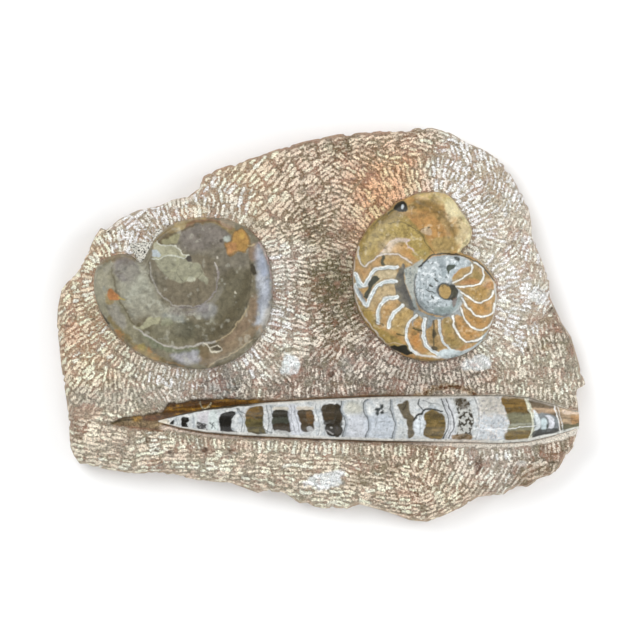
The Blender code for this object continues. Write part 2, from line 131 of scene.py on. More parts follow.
# The goniatite: its rim, the edge of its polished face, and the spiral suture on that face
GONIATITE_RIM = [
    (-118.5, 41), (-124.5, 45), (-132, 46.5), (-141.5, 43.5), (-147.5, 37.5), (-149.5, 27.5),
    (-148, 16.5), (-143, 4.5), (-135.5, -6), (-125, -15), (-111.5, -22.5), (-96.5, -27),
    (-80, -29), (-65.5, -26.5), (-52.5, -20), (-42.5, -10.5), (-36, 0.5), (-32.5, 13),
    (-32, 26.5), (-34, 40), (-38.5, 52), (-47, 62), (-58.5, 68), (-72, 70.5), (-86.5, 69.5),
    (-98.5, 65.5), (-108, 58), (-113, 50),
]
GONIATITE_FACE = [
    (-115.5, 36), (-110.5, 49), (-104.5, 58), (-93.5, 64), (-78.5, 65.5), (-65.5, 63),
    (-55, 57), (-48.5, 47), (-45.5, 33.5), (-46.5, 21), (-50.5, 8.5), (-57.5, -2), (-69, -10),
    (-82.5, -14), (-98.5, -12), (-113, -6.5), (-124.5, 1.5), (-133, 12.5), (-137.5, 24.5),
    (-137, 34.5), (-130, 40), (-121.5, 38),
]
GONIATITE_SUTURE = [
    (-112.3, 35.8), (-110.3, 27.9), (-105.5, 20.7), (-98.3, 14.7), (-90.3, 11.9),
    (-82.3, 12.3), (-74.3, 15.8), (-69.5, 21.5), (-67.1, 27.9), (-67.9, 35.8),
]
GONIATITE_EYE = (-87.3, 43.5)
GONIATITE_BULGE = 1.3
GONIATITE_GROOVE = 1.3

# The ammonite: its rim, the spiral suture that runs from the rim in to the umbilicus, and the
# groove and the lump at the broken mouth
AMMONITE_RIM = [
    (91.5, 48), (97, 54), (99, 61.5), (96, 68.5), (91.5, 75), (87, 82), (81.5, 86), (73.5, 87.5),
    (64, 86.5), (55, 83), (48, 79.5), (41.5, 73), (34, 67.5), (28, 59.5), (24, 51.5),
    (21.5, 41.5), (20.5, 31), (21.5, 21), (23.5, 11), (28, 2.5), (35.5, -6.5), (44.5, -14.5),
    (56, -21), (70, -24), (84.5, -22), (96, -18), (106, -10), (112, 1.5), (115, 15), (114, 29),
    (106.5, 39.5), (99.5, 44.5),
]
AMMONITE_SUTURE = [
    (88.5, 45.6), (82, 46.4), (75.3, 44.4), (68.2, 40.1), (63.2, 34.4), (61.1, 26.5),
    (61.7, 18.7), (65.3, 12.2), (71, 7.9), (78.2, 6.5), (84.6, 8.6), (88.9, 13.7), (90.4, 20.8),
]
AMMONITE_EYE = (81.4, 22.2)
AMMONITE_EYE_RADIUS = 5.4
AMMONITE_CREST_SHARE = 0.34
MOUTH_GROOVE = [(62.2, 80.2), (71.6, 76.8), (79.7, 71.5), (83.8, 65.4), (86.6, 58.5)]
MOUTH_GROOVE_WIDTH = 3.4
MOUTH_GROOVE_DEPTH = 1.9
MOUTH_LUMP = (91.6, 62.7)
MOUTH_LUMP_RADIUS = 5.2
MOUTH_LUMP_HEIGHT = 1.6

# The orthoceras: station along X, half width of the fossil, half width of the polished band
CONE_STATIONS = [
    (-139.5, 0.0, 0.3), (-125, 0.0, 3.3), (-107, 0.0, 6.4), (-93, 4.2, 9.0), (-76, 7.5, 11.0),
    (-55, 9.8, 12.3), (-36, 11.0, 13.3), (0, 13.0, 14.8), (40, 14.5, 16.0), (80, 15.0, 16.5),
    (118, 15.5, 17.0), (136, 14.3, 15.3), (153.5, 9.8, 12.2), (169.5, 4.5, 9.0),
]
CONE_TIP_X = -107.0
CONE_END_X = 169.5
CONE_AXIS_Y = -61.8
CONE_BOW = 2.5
CONE_BOW_CENTRE_X = 45.0
CONE_BOW_REACH = 185.0
CONE_AXIS_Z = 29.4
POLISH_AXIS_Z = 23.0
BORDER_Z = 29.0
BORDER_BLEND = 9.0


class Tint(Enum):
    """Colours of the limestone: the ground between the strokes, and the bruised stroke."""

    PINK_RED = ((168, 138, 108), (254, 238, 210))
    GREY = ((140, 132, 113), (214, 207, 188))
    TAN = ((156, 144, 124), (242, 229, 208))
    WARM_TAN = ((134, 116, 93), (236, 220, 198))
    BROWN = ((98, 82, 54), (214, 203, 186))
    OLIVE = ((82, 74, 44), (196, 187, 162))
    RED_BROWN = ((127, 106, 82), (228, 211, 190))
    SALMON = ((158, 116, 82), (254, 198, 152))
    CREAM = ((178, 161, 135), (254, 252, 244))
    PALE = ((196, 186, 167), (253, 247, 233))
    CHALK = ((170, 160, 146), (248, 242, 232))
    DUSTY = ((154, 143, 124), (232, 224, 207))
    ASH = ((80, 82, 80), (170, 168, 160))
    STEEL = ((118, 108, 96), (218, 208, 195))


@dataclass(frozen=True)
class Zone:
    """A part of the slab's top with its own tint, which fades out round its middle; its
    strokes may be worn away in part."""

    middle: Place
    reach: float
    tint: Tint
    worn: float = 0.0


@dataclass(frozen=True)
class Mark:
    """A patch of another colour in the limestone, as an oval: how far it hides the strokes
    and, below zero, how deep it is pitted."""

    middle: Place
    size: Place
    turn: float
    colour: Colour
    hides: float = 0.5
    dip: float = 0.0


ZONES = [
    Zone((-156, 23), 23, Tint.PINK_RED),
    Zone((-163, -17), 23, Tint.PINK_RED),
    Zone((-149, -50), 17, Tint.GREY),
    Zone((-139, -76), 23, Tint.TAN),
    Zone((-103, -86), 26, Tint.TAN),
    Zone((-47, -96), 33, Tint.TAN, 0.2),
    Zone((10, -108), 26, Tint.TAN),
    Zone((65, -109), 33, Tint.WARM_TAN),
    Zone((118, -83), 20, Tint.CHALK, 0.5),
    Zone((142, -100), 16, Tint.BROWN, 0.7),
    Zone((-66, -43), 12, Tint.ASH, 1.2),
    Zone((-20, -41), 14, Tint.STEEL, 0.5),
    Zone((18, -40), 18, Tint.STEEL, 0.8),
    Zone((52, -38), 16, Tint.STEEL, 0.4),
    Zone((-112, -46), 17, Tint.GREY, 0.7),
    Zone((-118, -24), 14, Tint.TAN),
    Zone((-30, 36), 17, Tint.CHALK),
    Zone((-28, 8), 17, Tint.CHALK),
    Zone((-92, -34), 16, Tint.CHALK),
    Zone((6, 62), 13, Tint.WARM_TAN),
    Zone((-50, -26), 13, Tint.CHALK),
    Zone((-100, -33), 17, Tint.CREAM),
    Zone((-8, 23), 15, Tint.BROWN, 0.4),
    Zone((6, -4), 14, Tint.BROWN, 0.4),
    Zone((9, 27), 17, Tint.OLIVE, 0.7),
    Zone((-5.5, 64), 12, Tint.OLIVE, 0.6),
    Zone((11, 112), 7, Tint.OLIVE, 0.3),
    Zone((152, -6), 10, Tint.BROWN, 0.8),
    Zone((-1, 92), 24, Tint.RED_BROWN),
    Zone((-35, 60), 14, Tint.WARM_TAN),
    Zone((-57, 96), 23, Tint.PINK_RED),
    Zone((52, 119), 26, Tint.WARM_TAN),
    Zone((39, 88), 20, Tint.SALMON),
    Zone((56, 99), 14, Tint.SALMON, 0.2),
    Zone((105, 98), 30, Tint.CREAM),
    Zone((134, 56), 23, Tint.PALE),
    Zone((128, 16), 20, Tint.PALE),
    Zone((157, -23), 20, Tint.DUSTY, 0.6),
    Zone((65, -32), 22, Tint.STEEL, 0.2),
    Zone((-75, -34), 14, Tint.CHALK),
    Zone((-74, 78), 15, Tint.CREAM),
    Zone((-120, 60), 15, Tint.CREAM),
    Zone((-30, -14), 12, Tint.DUSTY),
]

MARKS = [
    Mark((-20.7, -26.5), (6.8, 6.2), 0, (236, 242, 242), 0.96),
    Mark((103, -25), (9.6, 5.4), 10, (236, 240, 240), 0.9),
    Mark((144, 18.5), (6.2, 5.4), 20, (240, 242, 240), 0.85),
    Mark((3.4, -102.4), (13, 6), 8, (236, 241, 242), 0.93),
    Mark((134.4, 56.7), (2.8, 2.2), 0, (232, 231, 226), 0.7),
    Mark((131.8, -91.1), (3.2, 2.0), 0, (215, 212, 205), 0.7),
    Mark((142, -100), (11.5, 7.5), 15, (139, 114, 82), 0.45),
    Mark((41.7, -93.8), (9.8, 4.4), 5, (127, 106, 78), 0.5),
    Mark((25.5, -102), (7.4, 6.2), 0, (124, 110, 80), 0.45),
    Mark((103.4, -92.5), (2.4, 6.6), -12, (96, 66, 50), 0.8, -0.9),
    Mark((6.4, -32.4), (2.7, 2.4), 0, (70, 54, 40), 0.95, -1.4),
    Mark((152.9, 9.8), (3.1, 2.7), 0, (96, 82, 64), 0.9, -1.3),
    Mark((135.1, -16.6), (2.1, 2.0), 0, (104, 84, 66), 0.9, -1.0),
    Mark((-76.8, -82.6), (2.3, 1.6), 20, (92, 74, 58), 0.9, -0.9),
    Mark((-59.6, -82.6), (2.4, 1.4), 0, (96, 78, 62), 0.9, -0.9),
    Mark((-99.2, -83.9), (2.0, 1.5), 0, (98, 80, 64), 0.9, -0.8),
    Mark((-114.4, -76), (2.2, 1.7), 30, (94, 78, 60), 0.9, -0.9),
    Mark((148.3, -15.2), (3.4, 2.6), 0, (128, 118, 84), 0.7),
    Mark((6.4, 26.3), (12.5, 13), 0, (104, 94, 64), 0.35),
    Mark((-116, -48), (48, 7.5), 0, (150, 148, 138), 0.4),
    Mark((-70, -40), (11, 5), 0, (92, 96, 96), 0.4),
    Mark((17, -26.5), (5.2, 6.6), 0, (158, 156, 148), 0.5),
    Mark((-137, -81), (16.5, 6.2), 0, (160, 152, 138), 0.35),
    Mark((-164.5, -4.7), (5.6, 8.2), 0, (184, 132, 104), 0.45),
    Mark((-156.6, -57.5), (10.5, 4.8), 0, (176, 152, 132), 0.7),
    Mark((-54, 70), (34, 4.6), -22, (150, 146, 124), 0.35),
    Mark((-84, 74), (12, 4.0), 0, (226, 196, 150), 0.35),
]

# The edge that the chisel left bare, and the speckled filler at the goniatite's notch
BARE_EDGE = [(-84, 88), (-78, 97), (-69.5, 102), (-49, 109), (-27.5, 116), (-11.5, 120.5),
             (11, 125.5), (27, 126.5), (44, 128)]
BARE_WIDTH = 1.6
FILLER = [(-127.2, 53.8), (-111.6, 54.6), (-107, 63.5), (-104, 62), (-108, 50), (-117.6, 37)]

# The beads of rust above the orthoceras's wide end
RUST_CHAIN = [(64, -45.6), (71, -43.2), (79, -41.4), (89, -40.6), (96, -43), (101.5, -47),
              (104.6, -51)]

# The dark stone that is polished above the orthoceras's tip
TIP_STRIP = [
    (-139.6, -65.2), (-133, -62), (-126.6, -60.2), (-118, -59), (-110.5, -58.2),
    (-105, -56.5), (-102.9, -54.3), (-99.7, -51.1), (-92, -50.8), (-85.7, -49.4), (-74, -49),
    (-61.9, -47.8), (-55, -48.2), (-49, -49), (-38.2, -47.8), (-38.2, -56), (-100, -68),
    (-105.8, -70.3), (-116.4, -69.2), (-127, -67.7),
]

# The rows of chisel strokes: the middle of each pass of the chisel, and the way its strokes
# point, in degrees from the X axis
CHISEL_PASSES = [
    (-60, 88, 52), (-33, 100, 48), (-38, 73, 46), (-12, 84, 37), (0, 104, 33), (3, 72, 22),
    (22, 120, 15), (46, 121, 11), (70, 121, 164), (20, 105, 150), (38, 106, 155),
    (60, 104, 166), (93, 107, 110), (107, 104, 105), (20, 88, 162), (50, 95, 159),
    (97, 87, 50), (122, 88, 70), (16, 70, 176), (106, 69, 54), (123, 70, 66), (-138, 53, 35),
    (-14, 53, 16), (4, 52, 31), (121, 52, 60), (-154, 36, 47), (-30, 37, 147), (-14, 36, 166),
    (3, 35, 19), (122, 35, 52), (139, 36, 80), (-154, 19, 48), (-28, 18, 138), (-13, 18, 168),
    (3, 18, 10), (124, 17, 49), (141, 18, 54), (-32, 1, 149), (-14, 2, 158), (4, 1, 29),
    (17, -1, 40), (120, 0, 33), (-154, -14, 36), (-137, -13, 52), (-33, -15, 143),
    (-14, -15, 172), (3, -16, 47), (20, -15, 50), (37, -17, 36), (103, -24, 165),
    (141, -14, 100), (157, -16, 108), (-153, -32, 59), (-136, -31, 90), (-118, -31, 114),
    (-100, -33, 124), (-76, -34, 132), (-50, -32, 129), (-33, -31, 127), (3, -33, 85),
    (37, -33, 63), (54, -32, 174), (72, -34, 3), (120, -31, 78), (140, -31, 93),
    (157, -33, 97), (-152, -84, 172), (-136, -85, 166), (-118, -88, 3), (-92, -91, 178),
    (-62, -92, 176), (-30, -92, 179), (0, -88, 178), (20, -86, 170), (53, -86, 92),
    (156, -84, 79), (-40, -102, 176), (0, -104, 178), (20, -102, 165), (38, -101, 172),
    (54, -101, 160), (71, -100, 72), (88, -101, 64), (106, -99, 57), (123, -100, 59),
    (140, -101, 25), (38, -116, 168), (55, -118, 173), (71, -118, 18), (88, -115, 33),
]


# Lines and areas in plan

def resample(path: np.ndarray, spacing: float, closed: bool) -> np.ndarray:
    """Points at even steps along a path.

    Args:
        path: The path's points, with the first one repeated at the end of a closed one.
        spacing: The wanted step.
        closed: Whether the last point is left off, as the first one's repeat.

    Returns:
        The new points, an array of rows.
    """
    steps = np.linalg.norm(np.diff(path[:, :2], axis=0), axis=1)
    along = np.concatenate([[0], np.cumsum(steps)])
    spans = max(3, round(along[-1] / spacing))
    places = np.linspace(0, along[-1], spans + 1)
    if closed:
        places = places[:-1]
    return np.stack([np.interp(places, along, column) for column in path.T], 1)


def spline(points: list, spacing: float, closed: bool = True) -> np.ndarray:
    """A Catmull-Rom curve through the points.

    Args:
        points: The knots.
        spacing: The wanted step along the curve.
        closed: Whether the curve comes back to its first knot.

    Returns:
        Points at even steps along the curve.
    """
    knots = np.array(points, float)
    if closed:
        spans = zip(np.roll(knots, 1, 0), knots, np.roll(knots, -1, 0), np.roll(knots, -2, 0))
    else:
        ends = np.vstack([2 * knots[0] - knots[1], knots, 2 * knots[-1] - knots[-2]])
        spans = zip(ends[:-3], ends[1:-2], ends[2:-1], ends[3:])
    dense = []
    for a, b, c, d in spans:
        for t in np.linspace(0, 1, 16, endpoint=False):
            dense.append(0.5 * (2 * b + (c - a) * t + (2 * a - 5 * b + 4 * c - d) * t ** 2
                                + (3 * b - a - 3 * c + d) * t ** 3))
    dense.append(knots[0] if closed else knots[-1])
    return resample(np.array(dense), spacing, closed)


def distance_to(path: np.ndarray, points: np.ndarray, closed: bool = True) -> np.ndarray:
    """The distance from each point to a path.

    Args:
        path: The path's points.
        points: The places that are measured.
        closed: Whether the path comes back to its start.

    Returns:
        One distance for each point.
    """
    starts = path if closed else path[:-1]
    ends = np.roll(path, -1, 0) if closed else path[1:]
    nearest = np.full(len(points), np.inf)
    for a, b in zip(starts, ends):
        run = b - a
        away = points - a
        share = np.clip((away @ run) / (run @ run), 0, 1)
        away -= share[:, None] * run
        nearest = np.minimum(nearest, (away ** 2).sum(1))
    return np.sqrt(nearest)


def inside(path: np.ndarray, points: np.ndarray) -> np.ndarray:
    """Whether each point lies within a closed path, by the crossings of a ray along X.

    Args:
        path: The closed path's points.
        points: The places in plan.

    Returns:
        True for each place within the path.
    """
    found = np.zeros(len(points), bool)
    for a, b in zip(path, np.roll(path, -1, 0)):
        spans = (a[1] > points[:, 1]) != (b[1] > points[:, 1])
        if spans.any():
            cross = a[0] + (points[:, 1] - a[1]) * (b[0] - a[0]) / (b[1] - a[1])
            found ^= spans & (points[:, 0] < cross)
    return found


def grow(path: np.ndarray, by: float) -> np.ndarray:
    """A closed path moved outwards along its normals; a negative amount moves it inwards.

    Args:
        path: The closed path's points.
        by: How far it is moved.

    Returns:
        The moved path.
    """
    along = np.roll(path, -1, 0) - np.roll(path, 1, 0)
    normals = np.stack([along[:, 1], -along[:, 0]], 1)
    return path + by * normals / np.linalg.norm(normals, axis=1)[:, None]


def mottle(points: np.ndarray, scale: float, seed: int, octaves: int = 3) -> np.ndarray:
    """Smooth noise that is the same on each run.

    Args:
        points: The places in plan.
        scale: The size of the largest lumps.
        seed: The number that picks this noise.
        octaves: How many finer layers are added, each half the size and strength.

    Returns:
        One value for each point, mostly from -1 to 1.
    """
    table = np.random.default_rng(SEED + seed).uniform(-1, 1, (256, 256))
    total = np.zeros(len(points))
    for octave in range(octaves):
        spots = points[:, :2] * (2 ** octave / scale) + 71.3 * (octave + 1)
        cell = np.floor(spots).astype(int)
        share = spots - cell
        share = share * share * (3 - 2 * share)
        low = cell % 256
        high = (cell + 1) % 256
        near = table[low[:, 0], low[:, 1]] * (1 - share[:, 0]) \
            + table[high[:, 0], low[:, 1]] * share[:, 0]
        far = table[low[:, 0], high[:, 1]] * (1 - share[:, 0]) \
            + table[high[:, 0], high[:, 1]] * share[:, 0]
        total += (near * (1 - share[:, 1]) + far * share[:, 1]) / 2 ** octave
    return total


def soft_step(values: np.ndarray, low: float, high: float) -> np.ndarray:
    """A smooth rise from 0 at the low value to 1 at the high one, or a fall if low is more."""
    share = np.clip((values - low) / (high - low), 0, 1)
    return share * share * (3 - 2 * share)


def linear(colour: Colour) -> np.ndarray:
    """A screen colour from 0 to 255 as linear light."""
    parts = np.array(colour, float) / 255
    return np.where(parts <= 0.04045, parts / 12.92, ((parts + 0.055) / 1.055) ** 2.4)


def washed(colours: np.ndarray, colour: Colour, share: np.ndarray) -> np.ndarray:
    """Linear colours with one screen colour laid over them, by a share for each place."""
    share = share[:, None]
    return colours * (1 - share) + linear(colour) * share


def oval(points: np.ndarray, middle: Place, size: Place, turn: float = 0) -> np.ndarray:
    """How far each point is from the middle of an oval, 1 on its edge.

    Args:
        points: The places in plan.
        middle: The oval's middle.
        size: Its two half widths.
        turn: How far its first half width is turned from X, in degrees.

    Returns:
        One value for each point.
    """
    angle = math.radians(turn)
    away = points[:, :2] - np.array(middle)
    along = away @ np.array([math.cos(angle), math.sin(angle)])
    across = away @ np.array([-math.sin(angle), math.cos(angle)])
    return np.hypot(along / size[0], across / size[1])


# Heights of the slab and the fossils, as the solids have them

def cone_half_widths(x: np.ndarray) -> tuple[np.ndarray, np.ndarray]:
    """Half widths of the orthoceras and of its polished band at places along X."""
    table = np.array(CONE_STATIONS)
    return np.interp(x, table[:, 0], table[:, 1]), np.interp(x, table[:, 0], table[:, 2])


def cone_centre_y(x: np.ndarray) -> np.ndarray:
    """The orthoceras lies on a line that bows very slightly."""
    return CONE_AXIS_Y - CONE_BOW * ((x - CONE_BOW_CENTRE_X) / CONE_BOW_REACH) ** 2


def polish_radius(x: np.ndarray) -> np.ndarray:
    """Radius of the surface that the polishing left, about its own low axis."""
    return np.hypot(BORDER_Z - POLISH_AXIS_Z, cone_half_widths(x)[1])


def cone_radius(x: np.ndarray) -> np.ndarray:
    """Radius of the shell itself, so that the polish cuts it at its half width.

    Args:
        x: The places along X.

    Returns:
        One radius for each place.
    """
    half = cone_half_widths(x)[0]
    cut_z = POLISH_AXIS_Z + np.sqrt(np.maximum(polish_radius(x) ** 2 - half ** 2, 0))
    return np.hypot(half, cut_z - CONE_AXIS_Z)


def polish_height(points: np.ndarray) -> tuple[np.ndarray, np.ndarray]:
    """Height of the polished ridge, zero off it, and each point's distance outside it.

    Args:
        points: The places in plan.

    Returns:
        The ridge's heights, and the distances outside its border.
    """
    x, y = points[:, 0], points[:, 1]
    away = np.abs(y - cone_centre_y(x))
    ridge = POLISH_AXIS_Z + np.sqrt(np.maximum(polish_radius(x) ** 2 - away ** 2, 0))
    border = cone_half_widths(x)[1]
    past_tip = np.maximum(CONE_STATIONS[0][0] - x, 0)
    return np.where(away <= border, ridge, 0), np.hypot(np.maximum(away - border, 0), past_tip)


def strip_reach(x: np.ndarray, above: np.ndarray) -> np.ndarray:
    """How far the polished strip reaches from the orthoceras's axis, above it and below.

    Args:
        x: The places along X.
        above: Whether each is above the axis.

    Returns:
        One reach for each place.
    """
    half, border = cone_half_widths(x)
    upper = np.minimum(border, half + 0.7 + 0.8 * soft_step(x, 70, 40))
    return np.where(above, upper, np.minimum(border, half + 3.0) + 1.8 * soft_step(x, 40, 90))


def off_strip(points: np.ndarray) -> np.ndarray:
    """How far each place is outside the slab's polished strip along the orthoceras, below zero
    inside it; the strip is broad above the tip and narrow elsewhere.

    Args:
        points: The places in plan.

    Returns:
        One distance for each place.
    """
    x = points[:, 0]
    off = points[:, 1] - cone_centre_y(x)
    reach = strip_reach(x, off > 0)
    along = np.maximum(np.abs(off) - reach, CONE_STATIONS[0][0] - x)
    patch = np.array(TIP_STRIP, float)
    to_patch = distance_to(patch, points)
    return np.minimum(along, np.where(inside(patch, points), -to_patch, to_patch))


def off_fossil(rim: list, points: np.ndarray) -> np.ndarray:
    """How far each point is outside a fossil's rim, zero inside it."""
    path = spline(rim, 4.4)
    return np.where(inside(path, points), 0, distance_to(path, points))


def plate_height(points: np.ndarray) -> np.ndarray:
    """The slab's top before it is chiselled: a gently rolling field, a collar round each coiled
    fossil, the polished ridge of the orthoceras, and a rounded edge.

    Args:
        points: The places in plan.

    Returns:
        One height for each place.
    """
    x, y = points[:, 0], points[:, 1]
    top = FIELD_Z + 1.5 * np.sin(x / 41 + 1.3) * np.cos(y / 33 + 0.4) + np.sin(x / 23 - y / 29)
    ridge, off_ridge = polish_height(points)
    near = np.exp(-(off_ridge / BORDER_BLEND) ** 2)
    top = top * (1 - near) + BORDER_Z * near
    to_edge = distance_to(np.array(PLATE_EDGE, float)[:, :2], points)
    rounding = np.clip(1 - to_edge / EDGE_ROUND_WIDTH, 0, 1) ** 2
    top = top - EDGE_ROUND_DROP * rounding * (1 - near)
    for rim in (GONIATITE_RIM, AMMONITE_RIM):
        slope = np.clip(1 - off_fossil(rim, points) / COLLAR_WIDTH, 0, 1) ** 1.6
        top = top + np.maximum(FOSSIL_RIM_Z - COLLAR_DROP - top, 0) * slope
    return np.maximum(top, ridge)


def goniatite_height(points: np.ndarray) -> np.ndarray:
    """A flat polished face that bulges along the whorl, with a rounded flank down to the rim.

    Args:
        points: The places in plan.

    Returns:
        One height for each place.
    """
    face = spline(GONIATITE_FACE, 4.4)
    to_face = distance_to(face, points)
    to_rim = distance_to(spline(GONIATITE_RIM, 2.2), points)
    on_face = inside(face, points)
    share = np.where(on_face, 1, to_rim / np.maximum(to_rim + to_face, TINY))
    flank = FOSSIL_RIM_Z + (GONIATITE_FACE_Z - FOSSIL_RIM_Z) * np.sqrt(1 - (1 - share) ** 2)
    suture = distance_to(spline(GONIATITE_SUTURE, 2.6, closed=False), points, False)
    eye = np.linalg.norm(points - np.array(GONIATITE_EYE), axis=1)
    bulge = GONIATITE_BULGE * np.clip(to_face / 16, 0, 1) ** 0.7
    groove = GONIATITE_GROOVE * (np.exp(-(suture / 3.2) ** 2) + 0.6 * np.exp(-(eye / 4) ** 2))
    return flank + np.where(on_face, bulge - groove, 0)


def ammonite_height(points: np.ndarray) -> np.ndarray:
    """Rounded whorls that meet at the spiral suture, a dimple at the umbilicus, and a groove and a
    lump where the mouth is broken.

    Args:
        points: The places in plan.

    Returns:
        One height for each place.
    """
    to_rim = distance_to(spline(AMMONITE_RIM, 2.2), points)
    to_suture = distance_to(spline(AMMONITE_SUTURE, 2.6, False), points, False)
    share = to_suture / np.maximum(to_suture + to_rim, TINY)
    fall = np.clip((share - AMMONITE_CREST_SHARE) / (1 - AMMONITE_CREST_SHARE), 0, 1)
    rise = np.clip(1 - share / AMMONITE_CREST_SHARE, 0, 1)
    height = FOSSIL_RIM_Z + (AMMONITE_CREST_Z - FOSSIL_RIM_Z) * (1 - fall ** 2.6) ** (1 / 2.6)
    height = height - (AMMONITE_CREST_Z - AMMONITE_SUTURE_Z) * rise ** 1.6
    from_eye = np.linalg.norm(points - np.array(AMMONITE_EYE), axis=1)
    height = height - 1.6 * np.exp(-(from_eye / AMMONITE_EYE_RADIUS) ** 4)
    groove = distance_to(np.array(MOUTH_GROOVE), points, closed=False)
    height = height - MOUTH_GROOVE_DEPTH * np.exp(-(groove / MOUTH_GROOVE_WIDTH) ** 2)
    from_lump = np.linalg.norm(points - np.array(MOUTH_LUMP), axis=1)
    return height + MOUTH_LUMP_HEIGHT * np.exp(-(from_lump / MOUTH_LUMP_RADIUS) ** 4)


# Meshes

def select_only(made: bpy.types.Object) -> None:
    """Leave one object selected and active.

    Args:
        made: The object.
    """
    bpy.ops.object.select_all(action="DESELECT")
    made.select_set(True)
    bpy.context.view_layer.objects.active = made


def nearest_spots(points: np.ndarray, others: np.ndarray) -> tuple[np.ndarray, np.ndarray]:
    """The number of the nearest other point to each point, and how far away it is.

    Args:
        points: The places in plan.
        others: The points that are searched.

    Returns:
        The numbers and the distances, one for each place.
    """
    tree = KDTree(len(others))
    for number, (x, y) in enumerate(others[:, :2]):
        tree.insert((x, y, 0), number)
    tree.balance()
    found = [tree.find((x, y, 0)) for x, y in points[:, :2]]
    return np.array([hit[1] for hit in found]), np.array([hit[2] for hit in found])


def shaken_grid(low: np.ndarray, high: np.ndarray, spacing: float, seed: int) -> np.ndarray:
    """Points on a staggered grid over a box, each lightly shaken.

    Args:
        low: The box's low corner.
        high: Its high corner.
        spacing: The step of the grid.
        seed: The number that picks the shaking.

    Returns:
        The points, an array of rows.
    """
    random = np.random.default_rng(seed)
    rows = []
    for number, y in enumerate(np.arange(low[1], high[1], spacing * math.sqrt(0.75))):
        x = np.arange(low[0] + spacing / 2 * (number % 2), high[0], spacing)
        rows.append(np.stack([x, np.full(len(x), y)], 1))
    points = np.vstack(rows)
    return points + random.uniform(-0.14, 0.14, points.shape) * spacing


def flat_sheet(name: str, rim: np.ndarray, spacing: float, creases: list[np.ndarray] = (),
               bare: list[np.ndarray] = ()) -> bpy.types.Object:
    """A flat sheet of fine triangles at height 0, which the relief is then given to.

    Args:
        name: The new object's name.
        rim: The closed rim of the sheet.
        spacing: The wanted length of an edge.
        creases: Closed lines that the triangles keep to.
        bare: Closed lines within which no points are strewn, as on a hidden floor.

    Returns:
        The object, linked to the scene.
    """
    grid = shaken_grid(rim.min(0), rim.max(0), spacing, SEED)
    grid = grid[inside(rim, grid)]
    for path in bare:
        grid = grid[~inside(path, grid)]
    fixed = np.vstack([rim, *creases])
    grid = grid[nearest_spots(grid, fixed)[1] > spacing * 0.55]
    links = []
    first = len(rim)
    for crease in creases:
        numbers = np.arange(len(crease))
        links += list(zip((first + numbers).tolist(), (first + np.roll(numbers, -1)).tolist()))
        first += len(crease)
    flat = [Vector(point) for point in np.vstack([fixed, grid])]
    outline = [list(range(len(rim)))]
    spots, _, faces, sources, _, _ = delaunay_2d_cdt(flat, links, outline, 1, 1e-5, True)
    spots = np.array([tuple(spot) for spot in spots])
    on_rim = np.array([any(old < len(rim) for old in olds) for olds in sources])
    faces = np.array(faces)
    doubtful = on_rim[faces].all(1)
    keep = ~doubtful
    keep[doubtful] = inside(rim, spots[faces[doubtful]].mean(1))
    data = bpy.data.meshes.new(name)
    data.from_pydata(np.column_stack([spots * MM, np.zeros(len(spots))]), [], faces[keep].tolist())
    made = bpy.data.objects.new(name, data)
    bpy.context.scene.collection.objects.link(made)
    return made


def close_below(made: bpy.types.Object, levels: int) -> None:
    """Extrude the open rim of a flat sheet downwards, a millimetre for each level, and close
    it with a floor.

    Args:
        made: The sheet.
        levels: How many rings the wall has below the rim.
    """
    select_only(made)
    bpy.ops.object.mode_set(mode="EDIT")
    bpy.ops.mesh.select_mode(type="EDGE")
    bpy.ops.mesh.select_all(action="DESELECT")
    bpy.ops.mesh.select_non_manifold(extend=False, use_wire=False, use_boundary=True,
                                     use_multi_face=False, use_non_contiguous=False,
                                     use_verts=False)
    for _ in range(levels):
        bpy.ops.mesh.extrude_edges_move(TRANSFORM_OT_translate={"value": (0, 0, -MM)})
    bpy.ops.mesh.edge_face_add()
    bpy.ops.mesh.select_all(action="SELECT")
    bpy.ops.mesh.normals_make_consistent(inside=False)
    bpy.ops.object.mode_set(mode="OBJECT")


def mesh_places(made: bpy.types.Object) -> np.ndarray:
    """The vertices of an object's mesh in millimetres, one row each.

    Args:
        made: The object.

    Returns:
        The vertices' places.
    """
    places = np.empty(len(made.data.vertices) * 3)
    made.data.vertices.foreach_get("co", places)
    return places.reshape(-1, 3) / MM


def place_mesh(made: bpy.types.Object, places: np.ndarray) -> None:
    """Move the vertices of an object's mesh to places in millimetres."""
    made.data.vertices.foreach_set("co", (places * MM).ravel())
    made.data.update()


def shape_relief(made: bpy.types.Object, height: Callable[[np.ndarray], np.ndarray],
                 rings: list[np.ndarray]) -> np.ndarray:
    """Lift a closed flat sheet to its relief and lay its wall through rings.

    Args:
        made: The sheet, after its wall was extruded.
        height: Gives the height of each place of the top.
        rings: For each level of the wall, the three coordinates of its points. Their order is
            that of the rim.

    Returns:
        The level of each vertex, 0 on the top.
    """
    places = mesh_places(made)
    level = np.round(-places[:, 2]).astype(int)
    top = level == 0
    rim = rings[0][:, :2]
    spots, _ = nearest_spots(places[~top], rim)
    places[top, 2] = height(places[top, :2])
    stack = np.stack(rings)
    places[~top] = stack[level[~top], spots]
    place_mesh(made, places)
    return level


def paint_floats(made: bpy.types.Object, name: str, values: np.ndarray) -> None:
    """Store one number for each vertex, under a name that the finish reads."""
    made.data.attributes.new(name, "FLOAT", "POINT").data.foreach_set("value", values)


def paint_colours(made: bpy.types.Object, name: str, colours: np.ndarray) -> None:
    """Store one linear colour for each vertex, under a name that the finish reads."""
    rows = np.column_stack([np.clip(colours, 0, 1), np.ones(len(colours))])
    made.data.attributes.new(name, "FLOAT_COLOR", "POINT").data.foreach_set("color", rows.ravel())


# Finishes

